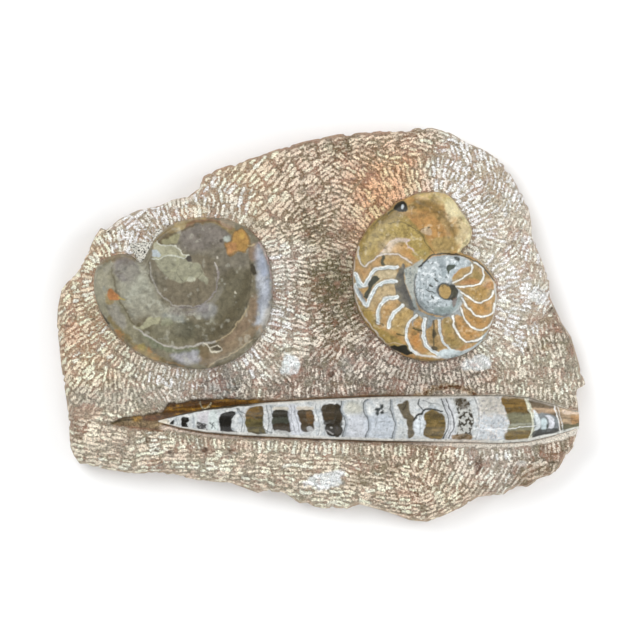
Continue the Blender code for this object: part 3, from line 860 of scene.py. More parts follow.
class Value:
    """A socket of a finish's graph that can be used in sums."""

    def __init__(self, graph: "Graph", socket: bpy.types.NodeSocket) -> None:
        """Keep the socket and the graph that it belongs to."""
        self.graph = graph
        self.socket = socket

    def _sum(self, operation: str, first: object, second: object) -> "Value":
        """One Math node of the two terms."""
        return self.graph.node("ShaderNodeMath", {"operation": operation}, {0: first, 1: second})

    def __add__(self, other: object) -> "Value":
        """This plus the other."""
        return self._sum("ADD", self, other)

    def __radd__(self, other: object) -> "Value":
        """The other plus this."""
        return self._sum("ADD", other, self)

    def __sub__(self, other: object) -> "Value":
        """This less the other."""
        return self._sum("SUBTRACT", self, other)

    def __rsub__(self, other: object) -> "Value":
        """The other less this."""
        return self._sum("SUBTRACT", other, self)

    def __mul__(self, other: object) -> "Value":
        """This times the other."""
        return self._sum("MULTIPLY", self, other)

    def __rmul__(self, other: object) -> "Value":
        """The other times this."""
        return self._sum("MULTIPLY", other, self)


class Graph:
    """The node graph of one finish, written as sums of values."""

    def __init__(self, name: str) -> None:
        """Start a material whose Principled shader is dressed by the graph.

        Args:
            name: The material's name.
        """
        self.material = bpy.data.materials.new(name)
        self.material.use_nodes = True
        self.tree = self.material.node_tree
        self.shader = self.tree.nodes["Principled BSDF"]

    def node(self, kind: str, settings: dict | None = None, inputs: dict | None = None,
             output: int | str = 0) -> Value:
        """Add one node.

        Args:
            kind: The node's type.
            settings: Its own settings, and "stops" for a ramp, which are set first.
            inputs: Numbers, colours or values for its sockets, by name or number.
            output: The output that is handed back.

        Returns:
            The wanted output, for use in sums.
        """
        made = self.tree.nodes.new(kind)
        for name, setting in (settings or {}).items():
            if name == "stops":
                self._set_stops(made.color_ramp, setting)
            else:
                setattr(made, name, setting)
        for name, given in (inputs or {}).items():
            self.feed(made.inputs[name], given)
        return Value(self, made.outputs[output])

    @staticmethod
    def _set_stops(ramp: bpy.types.ColorRamp, stops: list[tuple[float, Colour]]) -> None:
        """Give a ramp its stops, each a place and a screen colour.

        Args:
            ramp: The ramp.
            stops: Its stops.
        """
        while len(ramp.elements) < len(stops):
            ramp.elements.new(0.5)
        for element, (place, colour) in zip(ramp.elements, stops):
            element.position = place
            element.color = (*linear(colour), 1)

    def feed(self, socket: bpy.types.NodeSocket, given: object) -> None:
        """Link a value to a socket, or set the socket to a number or a colour.

        Args:
            socket: The socket.
            given: The value, number or colour.
        """
        if isinstance(given, Value):
            self.tree.links.new(given.socket, socket)
        else:
            socket.default_value = given

    def painted(self, name: str) -> Value:
        """A colour that was stored on the vertices."""
        return self.node("ShaderNodeAttribute", {"attribute_name": name}, output="Color")

    def measured(self, name: str) -> Value:
        """A number that was stored on the vertices."""
        return self.node("ShaderNodeAttribute", {"attribute_name": name}, output="Fac")

    def noise(self, size: float, detail: float = 2.0, stretch: tuple = (1, 1, 1)) -> Value:
        """Noise from 0 to 1 with lumps of a size in millimetres, drawn out along the axes.

        Args:
            size: The size of a lump.
            detail: How many finer layers it has.
            stretch: How much it is drawn out along each axis.

        Returns:
            The noise.
        """
        place = self.node("ShaderNodeTexCoord", output="Object")
        if stretch != (1, 1, 1):
            place = self.node("ShaderNodeMapping", {"vector_type": "TEXTURE"},
                              {"Vector": place, "Scale": stretch})
        return self.node("ShaderNodeTexNoise", None,
                         {"Vector": place, "Scale": 1 / (size * MM), "Detail": detail})

    def cells(self, size: float) -> Value:
        """A number from 0 to 1 for each grain of a size in millimetres.

        Args:
            size: The size of a grain.

        Returns:
            The number.
        """
        place = self.node("ShaderNodeTexCoord", output="Object")
        grains = self.node("ShaderNodeTexVoronoi", None,
                           {"Vector": place, "Scale": 1 / (size * MM)}, "Color")
        return self.node("ShaderNodeSeparateColor", None, {0: grains})

    def rise(self, given: Value, low: float, high: float) -> Value:
        """A smooth rise from 0 at the low value to 1 at the high one."""
        return self.node("ShaderNodeMapRange", {"interpolation_type": "SMOOTHSTEP"},
                         {"Value": given, "From Min": low, "From Max": high})

    def mix(self, share: object, first: object, second: object, blend: str = "MIX") -> Value:
        """Mix two colours; a plain colour is given as a screen colour.

        Args:
            share: How much of the second colour is taken.
            first: The first colour.
            second: The second colour.
            blend: The way they are blended.

        Returns:
            The mixed colour.
        """
        first, second = (
            part if isinstance(part, Value) else (*linear(part), 1) for part in (first, second)
        )
        return self.node("ShaderNodeMix", {"data_type": "RGBA", "blend_type": blend},
                         {0: share, 6: first, 7: second}, 2)

    def scaled(self, colour: Value, by: Value | float) -> Value:
        """A colour made lighter or darker by a number."""
        return self.node("ShaderNodeVectorMath", {"operation": "SCALE"},
                         {0: colour, "Scale": by})

    def bump(self, height: Value, distance: float, strength: float = 1.0) -> None:
        """Feed the shader's normal from a height, whose full step is a distance in mm.

        Args:
            height: The height.
            distance: The step in millimetres.
            strength: How strongly it tells.
        """
        normal = self.node("ShaderNodeBump", None, {
            "Height": height, "Distance": distance * MM, "Strength": strength})
        self.feed(self.shader.inputs["Normal"], normal)

    def dress(self, **sockets: object) -> bpy.types.Material:
        """Set or link the shader's sockets, their names written with underscores.

        Args:
            **sockets: What each socket is given.

        Returns:
            The finished material.
        """
        for name, given in sockets.items():
            self.feed(self.shader.inputs[name.replace("_", " ")], given)
        return self.material


@dataclass(frozen=True)
class ChiselledLimestone:
    """Matt limestone: the ground between the strokes, the bruised pale strokes, the polished
    strip along the orthoceras and the broken or sawn stone of the sides and the back."""

    name: str = "chiselled_limestone"
    roughness: float = 0.86
    polished_roughness: float = 0.3
    stroke_edge: float = 0.42

    def make(self) -> bpy.types.Material:
        """The material.

        Returns:
            The finished material.
        """
        graph = Graph(self.name)
        grain = graph.noise(1.0, 3)
        speck = graph.noise(1.5, 2)
        lump = graph.noise(2.6, 3)
        blotch = graph.noise(9, 3)
        edge = graph.measured("stroke") + (lump - 0.5) * 1.7 + (grain - 0.5) * 1.8
        stroke = graph.rise(edge, -self.stroke_edge, self.stroke_edge)
        polish = graph.measured("polish")
        chalk = stroke * (0.42 + 0.58 * graph.rise(grain, 0.36, 0.58)) * (1 - polish)
        ground = graph.scaled(graph.painted("ground"), 0.32 + 0.9 * grain + 0.4 * blotch)
        bloom = graph.scaled(graph.painted("bloom"), 0.8 + 0.6 * lump)
        dust = graph.rise(graph.noise(1.3, 3), 0.42, 0.62) * 0.36 * (1 - polish)
        ground = graph.mix(dust, ground, graph.scaled(graph.painted("bloom"), 0.8))
        colour = graph.mix(chalk, ground, bloom)
        rough_part = (1 - polish) * (1 - 0.6 * stroke)
        rust = (graph.noise(3.4, 3), 0.54, 0.7, 0.3, (164, 108, 86))
        rose = (graph.noise(7, 3), 0.5, 0.66, 0.26, (206, 160, 142))
        moss = (1 - graph.noise(7, 3), 0.52, 0.68, 0.26, (152, 148, 118))
        ash = (graph.noise(4.6, 3), 0.54, 0.68, 0.34, (124, 120, 112))
        for lumps, low, high, strength, tint in (rust, rose, moss, ash):
            colour = graph.mix(graph.rise(lumps, low, high) * rough_part * strength, colour, tint)
        dark_specks = graph.rise(speck, 0.58, 0.66) * (1 - 0.6 * stroke) * 0.5
        colour = graph.mix(dark_specks, colour, (66, 54, 44))
        pale_specks = graph.rise(1 - speck, 0.6, 0.68) * rough_part * 0.4
        colour = graph.mix(pale_specks, colour, (240, 230, 212))
        colour = graph.mix(graph.measured("filler"), colour, self._filler(graph))
        saw_marks = graph.rise(graph.noise(1.6, 2, (30, 1, 1)), 0.35, 0.65) * 0.35
        colour = graph.mix(graph.measured("sawn") * saw_marks, colour, (196, 178, 158))
        grit = graph.rise(graph.noise(0.85, 4), 0.36, 0.64)
        colour = graph.scaled(colour, ALBEDO * (0.74 + 0.46 * grit))
        height = 0.5 * grain + 0.3 * speck + 0.4 * stroke
        graph.bump(height, 0.6)
        rough = self.roughness - (self.roughness - self.polished_roughness) * polish
        return graph.dress(Base_Color=colour, Roughness=rough + 0.06 * (grain - 0.5),
                           Specular_IOR_Level=0.2)

    @staticmethod
    def _filler(graph: "Graph") -> "Value":
        """White filler with dark grains in it."""
        grains = graph.rise(graph.noise(1.05, 1), 0.55, 0.61)
        return graph.mix(grains, (236, 233, 222), (62, 60, 54))


@dataclass(frozen=True)
class PolishedFossil:
    """Calcite ground and polished until it shines, with faint crystal grains in it."""

    name: str
    roughness: float = 0.3
    grain: float = 1.4
    grain_depth: float = 0.42
    cloud: float = 5.0
    coat: float = 0.2
    flecks: float = 0.4

    def make(self) -> bpy.types.Material:
        """The material.

        Returns:
            The finished material.
        """
        graph = Graph(self.name)
        crystals = graph.cells(self.grain)
        fine = graph.noise(self.grain * 0.8, 3)
        cloud = graph.noise(self.cloud, 3)
        shade = (1 - self.grain_depth) + self.grain_depth * (0.5 * crystals + 1.5 * fine)
        painted = graph.scaled(graph.painted("paint"), ALBEDO * shade * (0.66 + 0.68 * cloud))
        fleck = graph.noise(self.grain * 1.6, 3)
        dark = graph.rise(fleck, 0.54, 0.68) * self.flecks
        colour = graph.mix(dark, painted, graph.scaled(painted, 0.42))
        pale = graph.rise(1 - fleck, 0.56, 0.7) * self.flecks
        colour = graph.mix(pale, colour, graph.scaled(painted, 1.45))
        wall = graph.measured("wall")
        rough = self.roughness + 0.16 * (fine - 0.5) + 0.4 * wall
        graph.bump(0.6 * cloud + 0.2 * fine, 0.16, 0.5)
        return graph.dress(Base_Color=colour, Roughness=rough, Coat_Weight=self.coat * (1 - wall),
                           Coat_Roughness=0.12, Specular_IOR_Level=0.16)


def paint_zones(points: np.ndarray) -> tuple[np.ndarray, np.ndarray, np.ndarray]:
    """The two limestone colours over the slab: the zones, blended, and the marks on them.

    Args:
        points: The places in plan.

    Returns:
        The ground's linear colours, the strokes' linear colours and how far they are worn.
    """
    wander = np.stack([mottle(points, 22, 5), mottle(points, 22, 6)], 1) * 7
    strayed = points[:, :2] + wander
    weights = np.full(len(points), 0.02)
    ground = weights[:, None] * linear(Tint.WARM_TAN.value[0])
    bloom = weights[:, None] * linear(Tint.WARM_TAN.value[1])
    worn = np.zeros(len(points))
    for zone in ZONES:
        away = np.linalg.norm(strayed - np.array(zone.middle), axis=1)
        weight = np.exp(-(away / zone.reach) ** 2)
        weights += weight
        worn += weight * zone.worn
        ground += weight[:, None] * linear(zone.tint.value[0])
        bloom += weight[:, None] * linear(zone.tint.value[1])
    ground /= weights[:, None]
    bloom /= weights[:, None]
    worn /= weights
    rust = 0.4 * soft_step(mottle(points, 13, 7), 0.25, 0.9)
    ground = washed(ground, (150, 100, 74), rust)
    grey = 0.35 * soft_step(mottle(points, 9, 8), 0.4, 1.0)
    ground = washed(ground, (140, 136, 124), grey)
    ragged = mottle(points, 5, 9) * 0.28
    for mark in MARKS:
        away = oval(points, mark.middle, mark.size, mark.turn) + ragged
        share = mark.hides * soft_step(away, 1.15, 0.8)
        ground = washed(ground, mark.colour, share)
        bloom = washed(bloom, mark.colour, 0.85 * share)
    return ground, bloom, worn


# Chisel work

@dataclass(frozen=True)
class Stroke:
    """One chisel stroke: its line in plan, a tone from -1 to 1, and its half width."""

    line: np.ndarray
    tone: float
    half_width: float


@dataclass
class ChiselWork:
    """The strokes of the chisel: rows of short, nearly parallel lines, laid so that none
    crosses another, and kept off the fossils, the polished strip and the bare edge. They are
    coarser in some parts than in others."""

    pitch: float = 2.9
    length: float = 7.8
    length_spread: float = 2.6
    row_gap: float = 1.0
    clearance: float = 2.02
    half_width: float = 0.9
    coarse_middle: Place = (-42, 84)
    coarse_reach: float = 34.0
    finest: float = 0.8
    coarsest: float = 1.6
    edge_margin: float = 0.4
    strip_margin: float = 0.8
    fossil_margin: float = 0.9
    rows_each_way: int = 4
    strokes_each_way: int = 13
    row_wave: float = 1.1
    scatter: float = 0.3
    turn_wander: float = 7.0
    turn_spread: float = 4.5
    collar_gap: float = 4.6
    collar_step: float = 7.4
    cone_gap: float = 4.4
    collar_length: float = 0.82
    bend: float = 0.5
    wave: float = 0.2
    steps: int = 8
    shortest: int = 3
    fills: int = 15000

    def lay(self, edge: np.ndarray) -> list[Stroke]:
        """Choose the strokes.

        Args:
            edge: The widest edge of the slab.

        Returns:
            The strokes that are kept.
        """
        random = np.random.default_rng(SEED + 20)
        middles, angles, lengths = self._wanted(edge, random)
        coarse = self._coarseness(middles)
        lines = self._lines(middles, angles, lengths * coarse, random)
        flat = lines.reshape(-1, 2)
        free = inside(grow(edge, -self.edge_margin), flat) & (off_strip(flat) > self.strip_margin)
        free &= distance_to(np.array(BARE_EDGE, float), flat, False) > BARE_WIDTH
        free &= ~inside(np.array(FILLER, float), flat)
        for fossil in (GONIATITE_RIM, AMMONITE_RIM):
            free &= off_fossil(fossil, flat) > self.fossil_margin
        free = free.reshape(len(lines), self.steps)
        cell = self.clearance * self.coarsest
        taken: dict[tuple[int, int], list[np.ndarray]] = {}
        laid = []
        for line, clear, scale in zip(lines, free, coarse):
            first, last = self._longest_run(line, clear, taken, self.clearance * scale)
            if last - first < self.shortest:
                continue
            kept = line[first:last]
            for spot in kept:
                taken.setdefault((int(spot[0] // cell), int(spot[1] // cell)), []).append(spot)
            tone = random.uniform(-1, 1)
            width = self.half_width * scale * (1 + 0.3 * random.uniform(-1, 0.7))
            laid.append(Stroke(kept, tone, width))
        return laid

    def _coarseness(self, places: np.ndarray) -> np.ndarray:
        """How large the strokes are at each place, against the usual size.

        Args:
            places: The places in plan.

        Returns:
            One size for each place.
        """
        middle = np.linalg.norm(places - np.array(self.coarse_middle), axis=1)
        coarse = 1 + 0.16 * mottle(places, 50, 24, 2)
        coarse = coarse + 0.22 * np.exp(-(middle / self.coarse_reach) ** 2)
        return np.clip(coarse, self.finest, self.coarsest)

    def _wanted(self, edge: np.ndarray,
                random: np.random.Generator) -> tuple[np.ndarray, np.ndarray, np.ndarray]:
        """The middles, angles and lengths that are tried, in their order.

        Args:
            edge: The widest edge of the slab.
            random: The source of chance.

        Returns:
            The middles, the angles in degrees and the lengths.
        """
        passes = np.array(CHISEL_PASSES, float)
        middles = []
        angles = []
        for x, y, angle in CHISEL_PASSES:
            along = np.array([math.cos(math.radians(angle)), math.sin(math.radians(angle))])
            across = np.array([-along[1], along[0]])
            phase = random.uniform(0, 6)
            middle = np.array([x, y])
            scale = float(self._coarseness(middle[None, :])[0])
            step = (self.length + self.row_gap) * scale
            for row in range(-self.rows_each_way, self.rows_each_way + 1):
                for place in range(-self.strokes_each_way, self.strokes_each_way + 1):
                    shift = self.row_wave * math.sin(place * 0.7 + row * 2 + phase)
                    middles.append(middle + across * place * self.pitch * scale
                                   + along * (row * step + shift))
                    angles.append(angle)
        middles = np.array(middles)
        angles = np.array(angles, float)
        own = self._nearest_pass(middles, passes)
        keep = passes[own, 2] == angles
        middles, angles = middles[keep], angles[keep]
        order = np.argsort(np.linalg.norm(middles - passes[own[keep], :2], axis=1))
        collars, outward = self._collars()
        middles = np.vstack([collars, middles[order]])
        angles = np.concatenate([outward, angles[order]])
        middles = middles + random.uniform(-self.scatter, self.scatter, middles.shape)
        fills = random.uniform(edge.min(0), edge.max(0), (self.fills, 2))
        angles = np.concatenate([angles, passes[self._nearest_pass(fills, passes), 2]])
        middles = np.vstack([middles, fills])
        angles = angles + self.turn_wander * mottle(middles, 24, 21)
        angles = angles + random.normal(0, self.turn_spread, len(angles))
        lengths = self.length + self.length_spread * random.uniform(-1, 1, len(angles))
        lengths[:len(collars)] *= self.collar_length
        return middles, angles, lengths

    def _collars(self) -> tuple[np.ndarray, np.ndarray]:
        """The middles and the angles of the rows that stand off the fossils like combs.

        Returns:
            The middles and the angles in degrees.
        """
        middles = []
        angles = []
        for rim, rows in ((GONIATITE_RIM, 2), (AMMONITE_RIM, 3)):
            for row in range(rows):
                ring = grow(spline(rim, 1.5), self.collar_gap + self.collar_step * row)
                ring = resample(np.vstack([ring, ring[:1]]), self.pitch, True)
                along = np.roll(ring, -1, 0) - np.roll(ring, 1, 0)
                middles.append(ring)
                angles.append(np.degrees(np.arctan2(-along[:, 0], along[:, 1])))
        x = np.arange(CONE_TIP_X + 8, CONE_END_X - 6, self.pitch)
        for side in (1, -1):
            away = side * (strip_reach(x, np.full(len(x), side > 0)) + self.cone_gap)
            middles.append(np.stack([x, cone_centre_y(x) + away], 1))
            angles.append(90 + 6 * np.sin(x / 17))
        return np.vstack(middles), np.concatenate(angles)

    @staticmethod
    def _nearest_pass(places: np.ndarray, passes: np.ndarray) -> np.ndarray:
        """Which pass each place belongs to; the borders between passes wander."""
        wander = np.stack([mottle(places, 14, 22), mottle(places, 14, 23)], 1) * 3
        return nearest_spots(places + wander, passes[:, :2])[0]

    def _lines(self, middles: np.ndarray, angles: np.ndarray, lengths: np.ndarray,
               random: np.random.Generator) -> np.ndarray:
        """The slightly bent and wavy line of each stroke.

        Args:
            middles: The strokes' middles.
            angles: Their angles in degrees.
            lengths: Their lengths.
            random: The source of chance.

        Returns:
            The points of each line, by stroke and step.
        """
        turn = np.radians(angles)
        along = np.stack([np.cos(turn), np.sin(turn)], 1)
        across = np.stack([-along[:, 1], along[:, 0]], 1)
        share = np.linspace(-0.5, 0.5, self.steps)
        bend = random.normal(0, self.bend, len(middles))[:, None] * (4 * share ** 2)
        wave = random.normal(0, self.wave, (len(middles), self.steps))
        offset = (bend + wave)[:, :, None] * across[:, None, :]
        return middles[:, None, :] + share[None, :, None] * lengths[:, None, None] \
            * along[:, None, :] + offset

    def _longest_run(self, line: np.ndarray, clear: np.ndarray, taken: dict,
                     reach: float) -> tuple[int, int]:
        """The longest part of a line that is clear of the other strokes by a reach.

        Args:
            line: The line's points.
            clear: Whether each one may be used.
            taken: The points already laid, by cell.
            reach: How far apart strokes stay.

        Returns:
            The number of its first point and that after its last.
        """
        best = (0, 0)
        start = 0
        for number in range(self.steps + 1):
            if number == self.steps or not clear[number] \
                    or self._touches(line[number], taken, reach):
                if number - start > best[1] - best[0]:
                    best = (start, number)
                start = number + 1
        return best

    def _touches(self, spot: np.ndarray, taken: dict, reach: float) -> bool:
        """Whether a spot is closer than the reach to a stroke that is already laid.

        Args:
            spot: The spot.
            taken: The points already laid, by cell.
            reach: How far apart strokes stay.

        Returns:
            True where it is too close.
        """
        cell = self.clearance * self.coarsest
        column = int(spot[0] // cell)
        row = int(spot[1] // cell)
        for i in (column - 1, column, column + 1):
            for j in (row - 1, row, row + 1):
                for other in taken.get((i, j), ()):
                    if (spot[0] - other[0]) ** 2 + (spot[1] - other[1]) ** 2 < reach ** 2:
                        return True
        return False

    @staticmethod
    def press(laid: list[Stroke], points: np.ndarray) -> tuple[np.ndarray, np.ndarray]:
        """Measure each place against the strokes.

        Args:
            laid: The strokes.
            points: The places in plan.

        Returns:
            How far each place is inside a stroke, below zero outside, and that stroke's tone.
        """
        cell = 4.0
        reach = 2.4
        off_stroke = -3.0
        bins: dict[tuple[int, int], list[int]] = {}
        for number, key in enumerate(map(tuple, np.floor(points / cell).astype(int))):
            bins.setdefault(key, []).append(number)
        depth = np.full(len(points), off_stroke)
        tone = np.zeros(len(points))
        for stroke in laid:
            low = np.floor((stroke.line.min(0) - reach) / cell).astype(int)
            high = np.floor((stroke.line.max(0) + reach) / cell).astype(int)
            near = [number for i in range(low[0], high[0] + 1) for j in range(low[1], high[1] + 1)
                    for number in bins.get((i, j), ())]
            if not near:
                continue
            near = np.array(near)
            own = stroke.half_width - distance_to(stroke.line, points[near], False)
            better = own > depth[near]
            depth[near[better]] = own[better]
            tone[near[better]] = stroke.tone
        return depth, tone


@dataclass
class Slab:
    """The slab of limestone, dense enough to carry its chisel marks as relief."""

    spacing: float = 0.83
    rim_spacing: float = 0.95
    levels: int = 10
    shoulder_share: float = 0.4
    ragged: float = 1.5
    fracture: float = 0.9
    stroke_relief: float = 0.7
    pitting: float = 0.38
    bed_end_x: float = 168.0
    # The side's colour: paler broken stone, lightened further as painted light against the shade on the
    # steep side
    broken_stone_and_fill_light: Colour = (204, 182, 156)
    bare_colour: Colour = (176, 132, 104)
    rust_halo: Colour = (176, 150, 112)
    rust_colour: Colour = (88, 56, 22)
    finish: ChiselledLimestone = ChiselledLimestone()
    chisel: ChiselWork = field(default_factory=ChiselWork)
    widest: np.ndarray = field(init=False)
    bevel: np.ndarray = field(init=False)
    chips: np.ndarray = field(init=False)
    pockets: list[np.ndarray] = field(init=False)
    laid: list[Stroke] = field(init=False)

    def __post_init__(self) -> None:
        """Work out the edge, the pockets and the strokes."""
        edge = np.array([*PLATE_EDGE, PLATE_EDGE[0]], float)
        edge = resample(edge, self.rim_spacing, True)
        self.widest, self.bevel = edge[:, :2], edge[:, 2]
        notches = mottle(self.widest, 7, 1, 2) + 0.7 * mottle(self.widest, 2.6, 14, 2)
        self.chips = self.ragged * np.clip(notches, 0, 1.2)
        self.pockets = [grow(spline(fossil, 0.9), SEAM) for fossil in (GONIATITE_RIM, AMMONITE_RIM)]
        self.laid = self.chisel.lay(self.widest)

    def build(self) -> bpy.types.Object:
        """Make the slab and dress it.

        Returns:
            The slab.
        """
        rim = self._ring(np.maximum(self.shoulder_share * self.bevel, 0.4) + self.chips)
        creases = list(self.pockets)
        for pocket in self.pockets:
            creases += [grow(pocket, -WALL_BREAK)[::2], grow(pocket, -WALL_LEAN)[::5]]
        creases += [self._bed_edge(GAP, 0.85), self._bed_edge(GAP - 0.12, 2.0)]
        bare = [*self.pockets, self._bed_edge(GAP, 0.85)]
        made = flat_sheet("limestone_slab", rim, self.spacing, creases, bare)
        close_below(made, self.levels)
        level = shape_relief(made, self.height, self._wall(rim))
        self._paint(made, level)
        made.data.materials.append(self.finish.make())
        select_only(made)
        bpy.ops.object.shade_smooth_by_angle(angle=math.radians(50))
        made.data.calc_loop_triangles()
        log.info("slab: %d strokes, %d triangles", len(self.laid), len(made.data.loop_triangles))
        return made

    def _ring(self, inset: np.ndarray) -> np.ndarray:
        """The widest edge drawn in towards the middle."""
        reach = np.linalg.norm(self.widest, axis=1)
        return self.widest * (1 - inset / reach)[:, None]

    def _slope(self, points: np.ndarray) -> np.ndarray:
        """How far each point is down the broken slope inside the edge, from 0 to 1.

        Args:
            points: The places in plan.

        Returns:
            One share for each place.
        """
        turn = np.arctan2(self.widest[:, 1], self.widest[:, 0])
        order = np.argsort(turn)
        own = np.arctan2(points[:, 1], points[:, 0])
        reach = np.linalg.norm(self.widest, axis=1)
        limit = np.interp(own, turn[order], reach[order], period=2 * math.pi)
        bevel = np.interp(own, turn[order], self.bevel[order], period=2 * math.pi)
        bevel = bevel * (1 + 0.2 * mottle(points, 6, 15))
        inset = limit - np.linalg.norm(points, axis=1)
        return np.clip((bevel - inset) / ((1 - self.shoulder_share) * bevel), 0, 1)

    def _bed_edge(self, gap: float, spacing: float) -> np.ndarray:
        """The closed edge of the orthoceras's bed, a gap outside the fossil's own edge.

        Args:
            gap: How far outside the fossil it runs.
            spacing: Its step along X.

        Returns:
            The edge's points.
        """
        x = np.arange(CONE_TIP_X - gap, self.bed_end_x, spacing)
        half = cone_half_widths(x)[0] + gap
        centre = cone_centre_y(x)
        lower = np.stack([x, centre - half], 1)
        upper = np.stack([x, centre + half], 1)[::-1]
        return np.vstack([lower, upper])

    def _wall(self, rim: np.ndarray) -> list[np.ndarray]:
        """The rings of the broken side, from the top rim to the sawn back.

        Args:
            rim: The top rim.

        Returns:
            The rings, each with three coordinates a point.
        """
        top_z = self.height(rim)
        along = np.arange(len(rim)) * self.rim_spacing
        rings = [np.column_stack([rim, top_z])]
        top_inset = np.linalg.norm(self.widest, axis=1) - np.linalg.norm(rim, axis=1)
        for level in range(1, self.levels + 1):
            share = level / self.levels
            z = top_z * (1 - share)
            middle = np.clip((z - WIDEST_Z) / (top_z - WIDEST_Z), 0, 1)
            lower = np.clip(1 - z / WIDEST_Z, 0, 1)
            inset = self.chips + (top_inset - self.chips) * middle
            inset = inset * (1 - lower) + BASE_INSET * lower
            spots = np.stack([along, z * 1.7], 1)
            broken = self.fracture * (0.55 * mottle(spots, 11, 2, 4)
                                      + 0.45 * mottle(spots * (0.5, 1.6), 7, 3, 2))
            inset = np.maximum(inset + broken * min(1, 3 * share), EDGE_EASE)
            rings.append(np.column_stack([self._ring(inset), z]))
        return rings

    def height(self, points: np.ndarray) -> np.ndarray:
        """The chiselled top, with the pockets of the coiled fossils and the cone's bed.

        Args:
            points: The places in plan.

        Returns:
            One height for each place.
        """
        depth, _ = self.chisel.press(self.laid, points)
        rough = soft_step(off_strip(points), 0.3, 2.0)
        rough = np.where(inside(np.array(FILLER, float), points), 0.15, rough)
        relief = self.stroke_relief * (soft_step(depth, -0.6, 0.5) - 0.5)
        relief = relief + self.pitting * mottle(points, 3.4, 4, 2)
        height = plate_height(points)
        height = height - (height - SHOULDER_Z) * self._slope(points) + rough * relief
        for mark in MARKS:
            if mark.dip:
                near = soft_step(oval(points, mark.middle, mark.size, mark.turn), 1.2, 0.5)
                height = height + mark.dip * near
        for pocket in self.pockets:
            within = inside(pocket, points)
            into = distance_to(pocket, points[within])
            wall = np.interp(into, [0, WALL_BREAK, WALL_LEAN],
                             [FOSSIL_RIM_Z, (FOSSIL_RIM_Z + POCKET_FLOOR_Z) / 2,
                              POCKET_FLOOR_Z - GAP])
            height[within] = np.where(into > 0.02, wall, height[within])
        x = points[:, 0]
        off_centre = np.abs(points[:, 1] - cone_centre_y(x))
        in_bed = (off_centre < cone_half_widths(x)[0] + GAP - 0.06) & (x > CONE_TIP_X - GAP + 0.06)
        bed_radius = cone_radius(x) + GAP
        bed = CONE_AXIS_Z - np.sqrt(np.maximum(bed_radius ** 2 - off_centre ** 2, 0))
        return np.where(in_bed, bed, height)

    def _paint(self, made: bpy.types.Object, level: np.ndarray) -> None:
        """Store the stone's colours and the strokes on the vertices.

        Args:
            made: The slab.
            level: The ring of each vertex, 0 on the top.
        """
        points = mesh_places(made)[:, :2]
        depth, tone = self.chisel.press(self.laid, points)
        top = level == 0
        depth = depth - 1.2 * soft_step(level.astype(float), 4, 9)
        ground, bloom, worn = paint_zones(points)
        depth = depth - 0.5 * soft_step(mottle(points, 13, 17), 0.1, 0.9)
        depth = depth - worn * soft_step(mottle(points, 7, 20), -0.6, 0.5)
        bloom = bloom * (1.17 + 0.24 * tone[:, None])
        pinkish = 0.45 * soft_step(mottle(points, 5, 18, 2), 0.2, 0.9)[:, None]
        bloom = bloom * (1 - pinkish) + bloom * np.array([1.0, 0.84, 0.8]) * pinkish
        # The broken side is washed paler: partly the broken stone's own colour, partly painted light
        # against its shade
        wall = 0.55 * soft_step(level.astype(float), 0, 3)
        ground = washed(ground, self.broken_stone_and_fill_light, wall)
        to_bare = distance_to(np.array(BARE_EDGE, float), points, False)
        to_bare = to_bare + 1.4 * mottle(points, 6, 16)
        bare = 0.5 * soft_step(to_bare, BARE_WIDTH + 1, BARE_WIDTH - 1)
        ground = washed(ground, self.bare_colour, bare)
        polish = self._polish(points) * top
        ground = self._strip_colours(points, ground, polish)
        to_rust = distance_to(np.array(RUST_CHAIN, float), points, False)
        to_rust = to_rust + 1.5 * mottle(points, 1.8, 19, 2)
        for reach, colour, strength in ((2.6, self.rust_halo, 0.5), (1.1, self.rust_colour, 0.95)):
            share = strength * soft_step(to_rust, reach, reach - 1)
            ground = washed(ground, colour, share)
            bloom = washed(bloom, colour, share)
        paint_floats(made, "stroke", depth)
        paint_floats(made, "polish", polish)
        paint_floats(made, "filler", inside(np.array(FILLER, float), points).astype(float) * top)
        paint_floats(made, "sawn", (level == self.levels).astype(float))
        paint_colours(made, "ground", ground)
        paint_colours(made, "bloom", bloom)

    @staticmethod
    def _polish(points: np.ndarray) -> np.ndarray:
        """Where the slab itself is polished: a strip on each side of the orthoceras."""
        return soft_step(off_strip(points) + 0.6 * mottle(points, 4, 11), 0.6, -0.4)

    @staticmethod
    def _strip_colours(points: np.ndarray, ground: np.ndarray, polish: np.ndarray) -> np.ndarray:
        """Colour the polished strip.

        Args:
            points: The places in plan.
            ground: The limestone's linear colours.
            polish: How much each place belongs to the strip.

        Returns:
            The colours with the strip: dark brown and gold above the tip, reddish along the
            top edge and the bottom edge, pale at the wide end.
        """
        x = points[:, 0]
        upper = points[:, 1] > cone_centre_y(x)
        off_shell = np.abs(points[:, 1] - cone_centre_y(x)) - cone_half_widths(x)[0]
        canvas = Canvas(points, (206, 188, 172), 25, 0.2)
        canvas.wash((140, 122, 100), upper)
        canvas.wash((212, 206, 192), upper * soft_step(x, 60, 90))
        line = soft_step(off_shell + 0.3 * mottle(points, 4, 25), 1.9, 1.3)
        canvas.wash((104, 80, 58), line * (1 - 0.85 * soft_step(x, 50, 90)))
        streaks = mottle(points * (0.3, 1.7), 3, 13, 3)
        left = soft_step(x, -34, -48) * upper
        canvas.wash((88, 58, 20), left)
        canvas.wash((142, 104, 38), left * soft_step(streaks, -0.1, 0.8))
        tip = soft_step(x, -103, -108)
        canvas.wash((132, 112, 84), tip)
        canvas.wash((166, 146, 112), tip * soft_step(streaks, 0, 0.8))
        canvas.line([(-136, -66.5), (-115, -68.5), (-104, -70)], 1.3, (142, 104, 82), 0.5, 0.8)
        canvas.spot((-111.4, -61), (6.6, 2.2), (92, 54, 24), 0, 0.4, 0.9)
        canvas.spot((-121.6, -61.6), (3.6, 2.2), (150, 112, 36), 0, 0.4, 0.85)
        canvas.line([(-138, -65), (-132, -63), (-124, -62)], 1.4, (66, 56, 24), 0.5, 0.9)
        rim = soft_step(-off_strip(points), 1.6, 0.4) * soft_step(x, -36, -44) * upper
